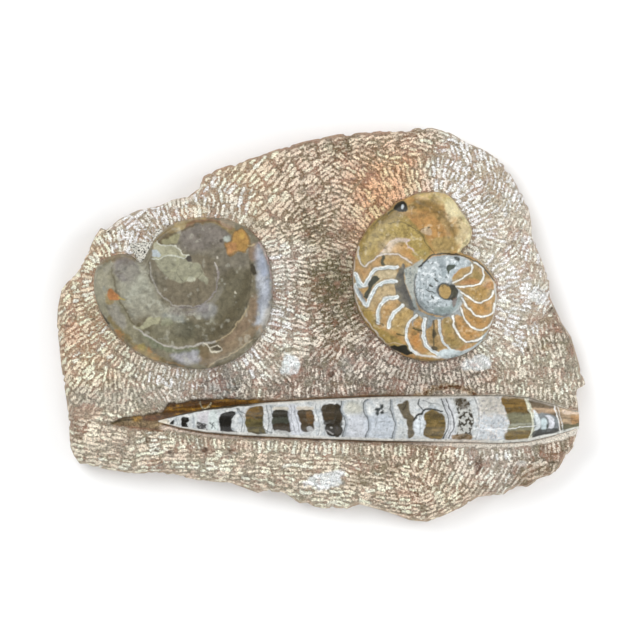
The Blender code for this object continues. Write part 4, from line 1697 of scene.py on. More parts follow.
        canvas.wash((52, 38, 16), 0.9 * rim)
        canvas.line([(-80, -51), (-79, -53.5), (-77, -55), (-74.5, -54), (-72.5, -51.5)], 0.7,
            (190, 186, 158), 0.4, 0.85)
        strip = canvas.colours * (1 + 0.4 * mottle(points, 2, 26, 3)[:, None])
        pale = soft_step(x, 50, 110) * ~upper * soft_step(off_shell, 0.5, 1.1)
        strip = washed(strip, (232, 224, 210), pale)
        return ground * (1 - polish[:, None]) + strip * polish[:, None]


class Canvas:
    """Colours laid over places in plan, one layer over another, with natural edges."""

    def __init__(self, points: np.ndarray, base: Colour, seed: int, stray: float = 0.5) -> None:
        """Start with one colour.

        Args:
            points: The places in plan.
            base: The first colour.
            seed: The number that picks the wandering of the edges.
            stray: How far the edges wander.
        """
        self.points = points[:, :2]
        self.colours = np.tile(linear(base), (len(points), 1))
        self.seed = seed
        wander = np.stack([mottle(points, 3.2, seed, 5), mottle(points, 3.2, seed + 1, 5)], 1)
        self.strayed = self.points + stray * wander

    def wash(self, colour: Colour, share: np.ndarray) -> None:
        """Lay a colour over the places by each one's share."""
        self.colours = washed(self.colours, colour, np.clip(share, 0, 1))

    def deepen(self, power: float, gain: float) -> None:
        """Make the dark colours darker, leave the pale ones, and keep each one's hue."""
        tone = np.maximum(self.colours.mean(1), 0.001)
        self.colours = np.clip(self.colours * (gain * tone ** (power - 1))[:, None], 0, 0.9)

    def _chroma(self) -> np.ndarray:
        """How strongly each place is coloured, from grey at 0 to 1."""
        strongest = self.colours.max(1)
        return (strongest - self.colours.min(1)) / np.maximum(strongest, 0.01)

    def mute(self, colour: Colour, share: float) -> None:
        """Draw the strong colours, and only these, towards a quieter one."""
        self.wash(colour, share * self._chroma())

    def streak(self, strength: float, seed: int) -> None:
        """Vary the strong colours in fine streaks that run along X."""
        streaks = mottle(self.points * (0.25, 1.5), 2.4, self.seed + seed, 3)
        self.colours = self.colours * (1 + strength * self._chroma() * streaks)[:, None]

    def _close(self, path: np.ndarray, reach: float) -> np.ndarray:
        """The numbers of the places in the box round a path.

        Args:
            path: The path's points.
            reach: How far the box is widened.

        Returns:
            The numbers of the places.
        """
        low = path.min(0) - reach
        high = path.max(0) + reach
        return np.flatnonzero(((self.strayed >= low) & (self.strayed <= high)).all(1))

    def area(self, outline: list, colour: Colour, soft: float = 0.4,
             strength: float = 1.0) -> None:
        """Fill a closed outline.

        Args:
            outline: Its corners, joined by a smooth curve.
            colour: The fill.
            soft: How wide its edge fades.
            strength: How much it covers.
        """
        path = spline(outline, 1.2)
        near = self._close(path, soft)
        spots = self.strayed[near]
        within = inside(path, spots)
        depth = np.where(within, 1, -1) * distance_to(path, spots)
        share = np.zeros(len(self.points))
        share[near] = strength * soft_step(depth, -soft, soft)
        self.wash(colour, share)

    def line(self, points: list, width: float, colour: Colour, soft: float = 0.3,
             strength: float = 1.0) -> None:
        """Draw a curve through the points, of one width, that thins out at its ends.

        Args:
            points: The curve's knots.
            width: Its width.
            colour: Its colour.
            soft: How wide its edges fade.
            strength: How much it covers.
        """
        path = spline(points, 0.8, closed=False)
        near = self._close(path, width + soft)
        spots = self.strayed[near]
        share = np.zeros(len(self.points))
        share[near] = strength * soft_step(distance_to(path, spots, False),
                                           width / 2 + soft, width / 2 - soft)
        self.wash(colour, share)

    def edged_line(self, points: list, width: float, colour: Colour, soft: float = 0.3,
                   strength: float = 1.0) -> None:
        """Draw a pale line with a soft halo, a darker edge on each side and a grey middle.

        Args:
            points: The curve's knots.
            width: Its width.
            colour: Its colour.
            soft: How wide its edges fade.
            strength: How much it covers.
        """
        self.line(points, width + 4.0, (206, 196, 170), 1.8, 0.2)
        self.line(points, width + 1.2, (118, 104, 82), 0.7, 0.55)
        self.line(points, 0.9 * width, colour, soft + 0.1, 0.9 * strength)
        if width > 1.6:
            self.line(points, 0.3 * width, (158, 178, 186), 0.4, 0.6)

    def spot(self, middle: Place, size: Place, colour: Colour, turn: float = 0,
             soft: float = 0.25, strength: float = 1.0) -> None:
        """Dab an oval; soft is the share of it that fades out."""
        away = oval(self.strayed, middle, size, turn)
        self.wash(colour, strength * soft_step(away, 1 + soft, 1 - soft))

    def clouds(self, colour: Colour, size: float, low: float, high: float, strength: float,
               seed: int, within: np.ndarray | float = 1.0) -> None:
        """Blotches where noise of a size rises from the low to the high value."""
        patches = soft_step(mottle(self.points, size, self.seed + seed, 4), low, high)
        self.wash(colour, strength * patches * within)

    def within(self, outline: list, soft: float = 1.0) -> np.ndarray:
        """How far each place is inside a closed outline, from 0 outside to 1.

        Args:
            outline: The outline's knots.
            soft: How wide its edge fades.

        Returns:
            One share for each place.
        """
        path = spline(outline, 1.2)
        depth = np.where(inside(path, self.strayed), 1, -1) * distance_to(path, self.strayed)
        return soft_step(depth, -soft, soft)


@dataclass
class CoiledFossil:
    """A coiled fossil set in a pocket of the slab: a polished relief top over a leaning wall."""

    name: str
    rim: list
    spacing: float
    height: Callable[[np.ndarray], np.ndarray]
    finish: PolishedFossil

    def build(self) -> bpy.types.Object:
        """Make the fossil and dress it.

        Returns:
            The fossil.
        """
        path = spline(self.rim, self.spacing * 1.1)
        made = flat_sheet(self.name, path, self.spacing)
        close_below(made, 2)
        middle_z = (FOSSIL_RIM_Z + POCKET_FLOOR_Z) / 2
        level = shape_relief(made, self._top, [
            np.column_stack([path, np.full(len(path), FOSSIL_RIM_Z)]),
            np.column_stack([grow(path, -WALL_BREAK), np.full(len(path), middle_z)]),
            np.column_stack([grow(path, -WALL_LEAN), np.full(len(path), POCKET_FLOOR_Z)]),
        ])
        points = mesh_places(made)
        paint_colours(made, "paint", self.paint(points))
        paint_floats(made, "wall", np.minimum(level, 1).astype(float))
        made.data.materials.append(self.finish.make())
        select_only(made)
        bpy.ops.object.shade_smooth_by_angle(angle=math.radians(50))
        log.info("%s: %d faces", self.name, len(made.data.polygons))
        return made

    def _top(self, points: np.ndarray) -> np.ndarray:
        """The relief, cut level at the highest place that the polishing left."""
        return np.minimum(self.height(points), POLISH_TOP_Z)

    def paint(self, points: np.ndarray) -> np.ndarray:
        """The linear colour of each place; each fossil has its own."""
        raise NotImplementedError


class Goniatite(CoiledFossil):
    """The grey-brown coil, polished flat, with a plain rounded flank."""

    def __init__(self) -> None:
        """Set its rim, its relief and its finish."""
        super().__init__("goniatite_coil", GONIATITE_RIM, 0.5, goniatite_height,
                         PolishedFossil("grey_brown_calcite", roughness=0.34, grain=1.6))

    def paint(self, points: np.ndarray) -> np.ndarray:
        """The whorls, the umbilicus, the mineral patches and the rim, with painted highlights and painted
        shade.

        Args:
            points: The places in plan.

        Returns:
            One linear colour for each place.
        """
        canvas = Canvas(points, (124, 117, 98), 100, 0.75)
        canvas.clouds((142, 137, 116), 14, -0.1, 0.9, 0.6, 1)
        canvas.clouds((98, 90, 70), 9, 0.1, 1.0, 0.5, 2)
        self._paint_whorls(canvas)
        self._paint_flank(canvas)
        self._paint_lobe(canvas)
        self._paint_umbilicus(canvas)
        self._paint_sheen_and_shade(canvas)
        self._paint_lines(canvas)
        self._paint_minerals(canvas)
        canvas.mute((138, 128, 104), 0.42)
        return canvas.colours

    @staticmethod
    def _paint_sheen_and_shade(canvas: Canvas) -> None:
        """Broad soft painted highlights and painted shade, with dark and pale clouds, over the finished
        picture.

        Args:
            canvas: The fossil's colours.
        """
        # Painted highlights on the left lobe and along the middle of the whorl
        canvas.spot((-143, 24), (6, 13), (190, 186, 166), 12, 0.7, 0.5)
        canvas.spot((-118, 26), (12, 9), (182, 184, 168), 40, 0.8, 0.4)
        canvas.spot((-128, 37), (8, 5), (168, 166, 152), 0, 0.8, 0.4)
        canvas.spot((-101, -3), (9, 5), (164, 160, 138), 0, 0.8, 0.35)
        canvas.spot((-114, -21), (11, 3.6), (210, 188, 140), -32, 0.7, 0.55)
        # Painted shade towards the lower right of the face
        canvas.spot((-64, -2), (10, 5), (66, 56, 34), 42, 0.8, 0.6)
        canvas.spot((-72, -12), (9, 3), (84, 72, 52), 8, 0.8, 0.5)
        # Painted highlight on the right flank
        canvas.spot((-36, 4), (3.2, 9), (224, 222, 216), -22, 0.8, 0.6)
        canvas.clouds((62, 54, 36), 6, 0.2, 1.2, 0.45, 30)
        canvas.clouds((196, 194, 178), 4, 0.5, 1.2, 0.4, 31)

    @staticmethod
    def _paint_whorls(canvas: Canvas) -> None:
        """The broad bands of the polished face, with a painted sheen along the whorl and painted shade
        towards its lower right edge.

        Args:
            canvas: The fossil's colours.
        """
        canvas.area([(-106, 52), (-98, 60), (-74, 67), (-51, 55), (-47, 42), (-50, 31), (-58, 25),
            (-67, 31), (-69, 42), (-77, 45), (-86, 45), (-99, 53)], (120, 114, 102), 3, 0.85)
        canvas.area([(-93, 60), (-82, 65), (-70, 65), (-61, 61), (-66, 52), (-87, 49)], (130, 122, 118),
            3, 0.6)
        # The two darker areas along the lower right edge of the face are painted shade
        canvas.area([(-67, 31), (-50, 37), (-47, 28), (-50, 14), (-67, -7), (-79, -11), (-85, -9),
            (-86, -1), (-77, 6), (-71, 15)], (100, 95, 76), 3, 0.85)
        canvas.area([(-51, 31), (-47, 36), (-48, 20), (-53, 7), (-72, -10), (-82, -11), (-74, -5),
            (-56, 15)], (70, 64, 44), 2.4, 0.8)
        canvas.area([(-114, -1), (-104, 4), (-96, 2), (-85, 2), (-84, -9), (-93, -13), (-112, -8),
            (-118, -4)], (104, 101, 78), 2, 0.75)
        canvas.area([(-96, 2), (-90, 4), (-84, 1), (-84, -6), (-90, -9), (-96, -6)], (74, 74, 62), 1.8,
            0.7)
        # The paler grey areas and clouds here are the whorl's own grey with a painted sheen along its
        # middle
        canvas.area([(-130, 37), (-120, 41), (-114, 34), (-111, 25), (-104, 15), (-92, 6), (-103, 4),
            (-114, 6), (-124, 6), (-134, 25)], (156, 154, 138), 3, 0.85)
        canvas.area([(-104, 7), (-98, 8), (-90, 6), (-90, 2), (-98, 2), (-103, 4)], (152, 155, 148), 1.6,
            0.7)
        canvas.area([(-80, 13), (-74, 14), (-68, 12), (-69, 7), (-76, 4), (-82, 6)], (152, 152, 150), 1.8,
            0.7)
        canvas.area([(-98, 13), (-90, 10), (-82, 10), (-76, 14), (-74, 10), (-82, 6), (-92, 6), (-99, 8)],
            (120, 112, 112), 1.4, 0.6)
        canvas.clouds((182, 182, 166), 3.2, 0.2, 0.8, 0.6, 3, canvas.within([(-130, 37), (-117, 34),
            (-109, 20), (-93, 9), (-74, 7), (-74, -1), (-98, -1), (-120, 4), (-132, 15), (-135, 28)], 3))

    @staticmethod
    def _paint_umbilicus(canvas: Canvas) -> None:
        """The inner disc, its pale leaf, the tongue with a painted bluish highlight, and the dark eye.

        Args:
            canvas: The fossil's colours.
        """
        canvas.area([(-111.5, 44), (-106, 47), (-98, 48.5), (-87, 45.5), (-77, 45.5), (-69, 40.5),
            (-67.5, 34), (-69, 24.5), (-74, 17.5), (-80.5, 13.5), (-87, 12), (-95, 13), (-101, 17),
            (-107, 24), (-110.5, 32.5)], (116, 107, 90), 0.7, 0.9)
        canvas.area([(-109, 44), (-104.5, 44), (-98, 46), (-86, 42), (-79.5, 40), (-77, 34), (-74, 30),
            (-75.5, 27), (-82, 30), (-86, 28.5), (-91.5, 28), (-98, 29.5), (-103, 33.5), (-108.5, 41.5)],
            (158, 157, 134), 0.8, 0.9)
        canvas.clouds((168, 168, 140), 2.6, 0.3, 0.9, 0.6, 4, canvas.within([(-109, 44), (-98, 46),
            (-86, 42), (-77, 34), (-76, 27), (-86, 29), (-98, 29), (-106, 38)], 1))
        canvas.area([(-87.5, 32), (-83, 30), (-83, 28.5), (-87.5, 28)], (190, 190, 168), 0.4, 0.9)
        canvas.line([(-93.5, 39.5), (-94.5, 35), (-92.5, 31), (-90, 28.5)], 0.5, (98, 96, 76), 0.3, 0.7)
        canvas.line([(-79.5, 37.5), (-78, 33.5), (-82, 30)], 0.5, (104, 100, 80), 0.3, 0.7)
        canvas.area([(-110.5, 52), (-107.5, 54), (-105, 52), (-99, 52.5), (-94.5, 51), (-90, 45.5),
            (-87, 45), (-90, 43.5), (-99, 46), (-104.5, 44), (-110, 44)], (172, 170, 144), 0.4)
        # Painted highlight on the tongue
        canvas.area([(-111, 49.5), (-107, 48.5), (-105, 46), (-109, 44.5), (-111, 46)], (186, 196, 202),
            0.5, 0.85)
        canvas.line([(-107.5, 54.5), (-106, 52.5), (-102.5, 52), (-99, 52.5), (-95, 51.5), (-92.5, 49.5),
            (-91, 46.5), (-89, 45.5), (-86.5, 45.5)], 0.75, (212, 212, 196))
        canvas.line([(-111.5, 43.5), (-107.5, 43), (-100.5, 46), (-93, 44.5), (-90, 43.5), (-87, 45)],
            0.75, (206, 208, 192))
        canvas.spot((-86.2, 43.4), (2.1, 1.7), (66, 62, 58), 20)

    @staticmethod
    def _paint_flank(canvas: Canvas) -> None:
        """The rounded flank: olive and rust round the top, partly darkened as painted shade, a painted
        bluish highlight on the right, brown and green below with a painted pale highlight, and a painted
        shadow line along the face's edge.

        Args:
            canvas: The fossil's colours.
        """
        canvas.area([(-111, 52), (-106, 59), (-99, 65), (-90, 69), (-80, 70), (-70, 69), (-61, 66),
            (-56, 61), (-60, 60), (-66, 65), (-74, 67), (-84, 66), (-92, 63), (-105, 53), (-109, 49)],
            (146, 122, 72), 1.0, 0.95)
        # Dark olive along the top: partly its own colour, partly painted shade
        canvas.area([(-109, 53.5), (-103, 60), (-95, 60.5), (-85, 65.5), (-82, 66.5), (-90, 61.5),
            (-104.5, 52.5), (-108.5, 50)], (76, 60, 34), 0.8, 0.9)
        canvas.line([(-90, 64), (-85, 67), (-78, 69), (-70, 68.5), (-64.5, 66.5), (-59.5, 63)], 1.7,
            (128, 74, 44), 0.7, 0.85)
        canvas.line([(-87, 64.5), (-80.5, 67), (-73, 68), (-67.5, 67)], 0.9, (84, 56, 32), 0.4, 0.7)
        canvas.line([(-96, 67), (-90, 70), (-76, 71)], 2.2, (214, 176, 92), 1.0, 0.7)
        canvas.area([(-105, 54.5), (-101, 57), (-97, 59), (-93, 60), (-93, 57), (-95, 53.5), (-99, 53),
            (-103, 52.5)], (154, 150, 116), 0.6, 0.95)
        canvas.area([(-97, 64.5), (-95, 67), (-91, 68), (-89, 66), (-90, 63), (-93, 62), (-96, 62.5)],
            (166, 146, 100), 0.6, 0.95)
        canvas.area([(-67, 69), (-62, 69), (-57, 65), (-60, 63), (-64, 65)], (176, 158, 138), 1.0, 0.6)
        canvas.area([(-48, 52), (-42, 53), (-40, 47), (-42, 42), (-46, 42)], (144, 118, 98), 1.2, 0.85)
        # Painted highlight: the bluish band and the white spots on the right flank
        canvas.area([(-42, 52), (-38, 49), (-33, 28), (-36, 6), (-44, -1), (-41, 20), (-43, 41)],
            (160, 166, 178), 2.8, 0.9)
        canvas.area([(-40, 45), (-36, 40), (-36, 20), (-39, 26)], (150, 164, 190), 2.2, 0.6)
        canvas.spot((-38.8, 27), (2.2, 6.2), (214, 218, 224), 18, 0.8, 0.6)
        canvas.spot((-38, 9.5), (1.6, 4.4), (206, 212, 218), -8, 0.8, 0.6)
        canvas.spot((-42, 3.1), (1.8, 3.2), (200, 208, 216), -40, 0.8, 0.5)
        canvas.line([(-41, 54), (-36.5, 47), (-33.5, 38), (-32, 28), (-31.5, 18)], 1.0, (206, 176, 176),
            0.6, 0.8)
        canvas.area([(-47, 18), (-42, 18), (-44, 2), (-57, -10), (-65, -13), (-66, -9), (-58, -4),
            (-48, 11)], (140, 116, 94), 1.6, 0.9)
        canvas.area([(-66, -13), (-57, -10), (-50, -5), (-42, 1), (-44, -6), (-52, -13), (-71, -25),
            (-77, -26), (-80, -21), (-74, -18), (-71, -19), (-65, -18)], (140, 120, 96), 1.2, 0.95)
        canvas.area([(-80, -14), (-74, -15), (-73, -20), (-74, -26), (-79, -26), (-80, -20)],
            (112, 92, 62), 1.0, 0.8)
        canvas.area([(-119, -5), (-112, -8), (-103, -13), (-92, -15), (-82, -14), (-80, -19), (-90, -20),
            (-109, -15), (-116, -10)], (116, 122, 98), 1.0, 0.9)
        # Painted highlight on the bottom flank
        canvas.area([(-99, -20), (-84, -17), (-80, -19), (-80, -24), (-90, -26)], (164, 162, 166), 1.8,
            0.85)
        canvas.spot((-82.8, -19.7), (1.9, 2.6), (192, 192, 196), 0, 0.8, 0.7)
        canvas.line([(-109, -22), (-103, -24), (-90, -27)], 1.0, (172, 128, 72), 0.6, 0.8)
        canvas.line([(-45, -9), (-59.5, -19.5), (-74, -27)], 0.8, (196, 178, 148), 0.5, 0.8)
        canvas.line([(-42, -2), (-39.5, -1), (-39, -4)], 1.6, (176, 128, 60), 0.8, 0.7)
        # Painted shadow along the edge where the face turns down to the flank
        canvas.line([(-47, 41.5), (-46.5, 31), (-47, 20), (-51, 9.5), (-55.5, 1.5), (-62, -5)], 0.9,
            (62, 56, 40), 0.6, 0.75)
        canvas.spot((-45, 36.2), (1.7, 3.6), (30, 26, 20), 10)

    @staticmethod
    def _paint_lobe(canvas: Canvas) -> None:
        """The left lobe between the ridge and the rim, with its rusty lower edge, a painted highlight and
        a painted shadow along the lower left rim.

        Args:
            canvas: The fossil's colours.
        """
        canvas.area([(-149, 41), (-144, 44), (-136, 44), (-136, 36), (-136, 26), (-132, 17), (-128, 8),
            (-117, -7), (-112, -14), (-122, -14), (-132, -7), (-140, 2), (-147, 14), (-150, 26),
            (-151, 34)], (136, 132, 110), 1.0, 0.9)
        # Painted highlight on the lobe
        canvas.area([(-140, 13), (-135, 14), (-128, 2), (-130, -3), (-135, 0), (-139, 6)],
            (152, 148, 138), 1.4, 0.8)
        canvas.area([(-149, 41.5), (-142, 44.5), (-134, 46.5), (-127, 50), (-126, 46), (-131.5, 44.5),
            (-139.5, 42), (-147, 38)], (118, 94, 58), 0.9, 0.9)
        canvas.area([(-140, 44), (-130, 45), (-122, 46), (-120, 42), (-128, 41), (-136, 41)],
            (132, 112, 78), 1.2, 0.8)
        canvas.area([(-135, 42), (-128, 44), (-122, 41), (-120, 36), (-124, 29), (-130, 28), (-135, 33)],
            (118, 110, 112), 1.8, 0.8)
        canvas.area([(-128, 37), (-122, 39), (-120, 33), (-122, 25), (-128, 26)], (134, 128, 118), 1.4,
            0.6)
        canvas.spot((-129, 36.5), (1.5, 0.8), (70, 66, 68), 50, 0.5, 0.9)
        canvas.line([(-136, 39.5), (-137, 32.5), (-133.5, 19), (-126.5, 6), (-122.5, 0.5)], 0.9,
            (86, 80, 58), 0.5, 0.9)
        canvas.line([(-135, 38), (-135.5, 32), (-134.5, 26), (-129, 12.5)], 0.6, (150, 146, 126), 0.4,
            0.6)
        canvas.line([(-139, 4), (-133, -3), (-120, -15), (-112, -20), (-104, -23)], 3.0, (124, 106, 54),
            1.2, 0.75)
        canvas.clouds((176, 118, 52), 3.6, 0.1, 0.7, 0.8, 5, canvas.within([(-138, 2), (-130, -4),
            (-120, -10), (-109, -18), (-98, -23), (-100, -27), (-112, -23), (-124, -16), (-134, -7)], 1))
        canvas.spot((-117.4, -15.3), (3.0, 2.3), (192, 172, 84), -20, 0.4, 0.9)
        # Painted shadow along the lower left rim
        canvas.line([(-146.5, 10), (-142, 4), (-139.5, 1)], 1.3, (28, 24, 18), 0.4)
        canvas.spot((-142.2, 23.4), (1.0, 1.6), (96, 108, 116), 0, 0.4, 0.8)

    @staticmethod
    def _paint_lines(canvas: Canvas) -> None:
        """The white spiral line round the disc, the white edge line of the face and its loop.

        Args:
            canvas: The fossil's colours.
        """
        canvas.line([(-112, 40.5), (-112, 34), (-107, 22.5), (-97, 13.5), (-91, 12), (-84.5, 12.5)], 0.9,
            (168, 163, 156), 0.5, 0.8)
        canvas.line([(-113, 42), (-113, 34), (-111, 28)], 0.8, (84, 80, 66), 0.4, 0.8)
        canvas.line([(-84.5, 12), (-79, 13), (-73, 17), (-69.5, 22.5), (-68, 28.5), (-68, 35), (-70, 40)],
            0.8, (152, 145, 146), 0.5, 0.75)
        canvas.line([(-93, 11), (-86, 11), (-79.5, 12)], 0.9, (96, 88, 96), 0.5, 0.7)
        canvas.line([(-122.5, -0.5), (-112.5, -8.5), (-106, -11.5), (-98, -14), (-90, -14.5), (-69, -11)],
            1.1, (186, 181, 172), 0.45, 0.9)
        canvas.line([(-69, -11), (-62, -7), (-56.5, -1.5), (-51.5, 5.5), (-48, 12.5)], 0.8,
            (178, 160, 126), 0.4, 0.9)
        canvas.spot((-68.3, -16.1), (3.0, 1.5), (72, 64, 52), 0, 0.3)
        canvas.line([(-76.5, -12.5), (-74, -14), (-71.5, -18), (-67.5, -18), (-65, -17), (-65, -15),
            (-67.5, -14), (-71, -14), (-73, -15)], 0.8, (216, 208, 188), 0.3)
        canvas.line([(-70, 40.5), (-69, 38), (-68.5, 36)], 0.6, (206, 200, 190), 0.3, 0.8)
        canvas.spot((-56.3, 21.5), (1.0, 1.0), (206, 200, 180), 0, 0.4)
        canvas.spot((-67.9, 44), (0.7, 0.7), (212, 206, 190), 0, 0.4)

    @staticmethod
    def _paint_minerals(canvas: Canvas) -> None:
        """The golden patch, the orange patch, the mossy patches and a dark spot.

        Args:
            canvas: The fossil's colours.
        """
        canvas.area([(-58.5, 60), (-52.5, 64), (-49.5, 61), (-46.5, 53.5), (-48.5, 50), (-50.5, 47),
            (-54.5, 48), (-57, 47), (-59, 44.5), (-61, 47), (-63, 52), (-63, 54.5), (-59, 55.5)],
            (126, 92, 38), 0.4)
        canvas.area([(-57.5, 60), (-52.5, 63), (-50, 60.5), (-48.5, 56.5), (-47.5, 53.5), (-51, 48),
            (-54.5, 49.5), (-59.5, 46.5), (-60.5, 48), (-62, 52), (-61.5, 54), (-58, 55)], (190, 138, 52),
            0.5)
        canvas.area([(-62, 53.5), (-58, 54), (-55, 50), (-57.5, 48), (-59.5, 46), (-61, 48)],
            (190, 128, 72), 0.9, 0.9)
        canvas.spot((-52.3, 59), (1.6, 1.8), (226, 178, 78), 0, 0.6, 0.9)
        canvas.spot((-50.8, 51.8), (1.8, 2.6), (170, 122, 34), 0, 0.6, 0.8)
        canvas.spot((-61.6, 56.8), (2.1, 1.7), (178, 184, 174), 30, 0.5, 0.95)
        canvas.spot((-65.5, 54.9), (1.3, 1.2), (74, 68, 64), 0, 0.5)
        canvas.line([(-48.5, 52.5), (-46.5, 52), (-44, 52.5)], 0.7, (214, 196, 150), 0.4, 0.8)
        canvas.area([(-140, 22), (-138, 23.5), (-133, 19), (-133.5, 16.5), (-137.5, 16), (-139.5, 18)],
            (196, 120, 54), 0.5)
        canvas.area([(-141, 20), (-139, 17), (-135.5, 15), (-138, 13), (-141, 15)], (164, 140, 84), 0.8,
            0.7)
        canvas.line([(-133.5, 18.5), (-131, 17.5), (-129, 16.5)], 0.9, (192, 172, 92), 0.4, 0.9)
        canvas.area([(-123, 0.5), (-120.5, -1), (-117.5, -0.5), (-115.5, 1.5), (-113.5, 4.5), (-106, 5.5),
            (-106.5, 2.5), (-108.5, 0.5), (-116.5, -3), (-119.5, -3)], (170, 168, 138), 0.5, 0.95)
        canvas.area([(-104.5, 3.5), (-101, 5), (-98, 3.5), (-98, 0), (-102, -1), (-105, 0)],
            (142, 144, 118), 0.8, 0.7)
        canvas.spot((-119.4, -0.1), (1.6, 1.0), (86, 78, 52), 30, 0.5, 0.9)


class Ammonite(CoiledFossil):
    """The amber coil, cut so that its chambers and their white walls show."""

    def __init__(self) -> None:
        """Set its rim, its relief and its finish."""
        super().__init__("ammonite_coil", AMMONITE_RIM, 0.43, ammonite_height,
                         PolishedFossil("amber_and_white_calcite", roughness=0.36, grain=1.3))

    def paint(self, points: np.ndarray) -> np.ndarray:
        """The body chamber, the chambers, their walls, the inner whorls and the marks, with painted shade
        and painted highlights.

        Args:
            points: The places in plan.

        Returns:
            One linear colour for each place.
        """
        canvas = Canvas(points, (200, 146, 86), 200, 0.5)
        canvas.clouds((176, 138, 74), 8, 0.0, 0.9, 0.6, 1)
        canvas.clouds((214, 132, 68), 6, 0.2, 0.9, 0.5, 2)
        self._paint_body(canvas)
        self._paint_chambers(canvas)
        canvas.spot((46, 73), (8, 5), (112, 82, 40), 35, 0.8, 0.5)
        canvas.spot((86, 74), (5, 8), (240, 226, 190), -30, 0.7, 0.5)
        canvas.spot((45, 52), (7, 5), (236, 222, 196), 20, 0.8, 0.5)
        canvas.spot((42, 24), (9, 10), (226, 218, 192), 0, 0.9, 0.25)
        canvas.line([(62, 81), (72, 80), (77, 76), (88, 58)], 3.4, (118, 84, 42), 1.8, 0.6)
        canvas.line([(39, 67), (45, 72), (62, 72)], 3.0, (128, 94, 48), 1.8, 0.45)
        canvas.area([(74, 86), (82, 82), (93, 69), (98, 63), (98, 55), (93, 50), (88, 56), (90, 64),
            (80, 80)], (238, 226, 186), 1.8, 0.6)
        canvas.clouds((78, 58, 32), 3.4, 0.35, 1.1, 0.5, 30)
        canvas.clouds((240, 226, 196), 3.0, 0.5, 1.1, 0.4, 31)
        self._paint_inner_whorls(canvas)
        canvas.spot((64, 13), (4, 6), (96, 108, 112), 40, 0.8, 0.5)
        canvas.spot((72, 10), (6, 4), (128, 144, 150), 0, 0.8, 0.4)
        self._paint_walls(canvas)
        self._paint_umbilicus(canvas)
        self._paint_marks(canvas)
        canvas.mute((172, 160, 108), 0.44)
        canvas.deepen(1.22, 1.17)
        return canvas.colours

    @staticmethod
    def _paint_body(canvas: Canvas) -> None:
        """The last chamber: olive gold on the left, orange in the middle, pale at the lip.

        Args:
            canvas: The fossil's colours.
        """
        canvas.area([(24, 48), (28, 60), (34, 68), (43, 74), (52, 73), (61, 66), (69, 56), (72, 48),
            (64, 45), (54, 48), (44, 54), (38, 48), (31, 40), (27, 37)], (176, 146, 76), 1.2, 0.95)
        canvas.area([(34, 62), (43, 67), (54, 67), (61, 62), (66, 54), (61, 51), (52, 57), (43, 58),
            (35, 52), (29, 45), (28, 54)], (190, 164, 96), 1.4, 0.7)
        canvas.area([(58, 71), (69, 72), (76, 69), (82, 62), (81, 57), (72, 57), (64, 63)],
            (206, 138, 76), 1.2, 0.8)
        canvas.area([(61, 81), (70, 80), (78, 76), (84, 66), (78, 71), (70, 74), (61, 76)],
            (162, 112, 46), 1.0, 0.8)
        canvas.line([(64, 79), (70, 77.5), (81, 70.5), (84, 67), (88, 58)], 1.6, (132, 82, 30), 0.7, 0.85)
        canvas.line([(56.5, 75), (61, 80.5), (69, 82)], 1.2, (206, 182, 130), 0.8, 0.6)
        canvas.area([(73, 56), (84, 58), (91, 56), (88, 49), (81, 47), (75, 48)], (178, 150, 96), 1.2,
            0.8)
        canvas.area([(61, 84), (64, 86), (73, 87), (82, 87), (85, 83), (84, 79), (78, 78), (70, 82)],
            (218, 188, 138), 1.0, 0.95)
        canvas.area([(81, 83), (85, 83.5), (90, 77.5), (96, 70), (99, 62), (97.5, 54), (92, 48),
            (88.5, 48), (94.5, 56), (96, 63), (91.5, 70), (84, 72), (81, 77.5)], (232, 220, 172), 0.9,
            0.95)
        canvas.clouds((196, 170, 96), 2.4, 0.2, 0.8, 0.7, 3, canvas.within([(61, 86), (84, 86), (98, 65),
            (96, 56), (88, 71), (81, 78), (64, 82)], 1))
        canvas.spot((91.4, 62.3), (6.2, 4.8), (208, 170, 116), -10, 0.15, 0.95)
        canvas.line([(85.5, 64), (87, 60), (90.5, 58), (94.5, 58), (97, 60)], 0.6, (150, 108, 58), 0.4,
            0.8)
        canvas.line([(86, 65.5), (88.5, 67.5), (93, 67.5), (96.5, 65.5)], 0.5, (232, 208, 160), 0.4, 0.8)
        canvas.clouds((120, 92, 40), 3.0, 0.15, 0.9, 0.75, 4, canvas.within([(24, 48), (34, 68), (52, 73),
            (64, 63), (72, 48), (54, 48), (38, 48), (27, 37)], 2))
        canvas.clouds((222, 196, 134), 2.6, 0.45, 1.0, 0.6, 5, canvas.within([(34, 62), (54, 67),
            (66, 54), (52, 57), (35, 52)], 2))
        canvas.clouds((136, 88, 42), 2.6, 0.2, 0.9, 0.6, 6, canvas.within([(58, 74), (73, 73), (84, 63),
            (81, 57), (69, 57)], 1))
        canvas.line([(39.5, 64), (40, 67.5), (42, 70), (44.5, 70.5)], 0.4, (110, 84, 50), 0.25, 0.8)
        canvas.line([(44.5, 66.5), (49, 67.5), (53.5, 67), (62.5, 62), (66.5, 58), (69, 53), (74.5, 47)],
            0.55, (84, 66, 44), 0.3, 0.95)
        canvas.area([(65, 61), (69, 64), (72.5, 62), (72, 59), (68, 59)], (198, 176, 152), 0.6, 0.85)
        canvas.line([(64, 60.5), (66, 62.5), (68.5, 63.5)], 0.6, (92, 70, 44), 0.3, 0.8)
        canvas.spot((70.2, 63.7), (1.0, 0.8), (20, 16, 14), 30, 0.3)
        canvas.area([(44, 51), (46, 55.5), (50.5, 57), (58, 56), (56.5, 54), (51, 54), (48, 51), (46, 48),
            (40.5, 45.5), (38.5, 46.5)], (216, 200, 198), 0.7, 0.7)
        canvas.line([(38.5, 46.5), (42, 50), (45.5, 54.5), (49, 56)], 1.0, (222, 206, 206), 0.5, 0.85)
        canvas.line([(58, 56), (56, 53), (61, 48), (63, 45.5)], 0.9, (214, 196, 200), 0.4, 0.8)
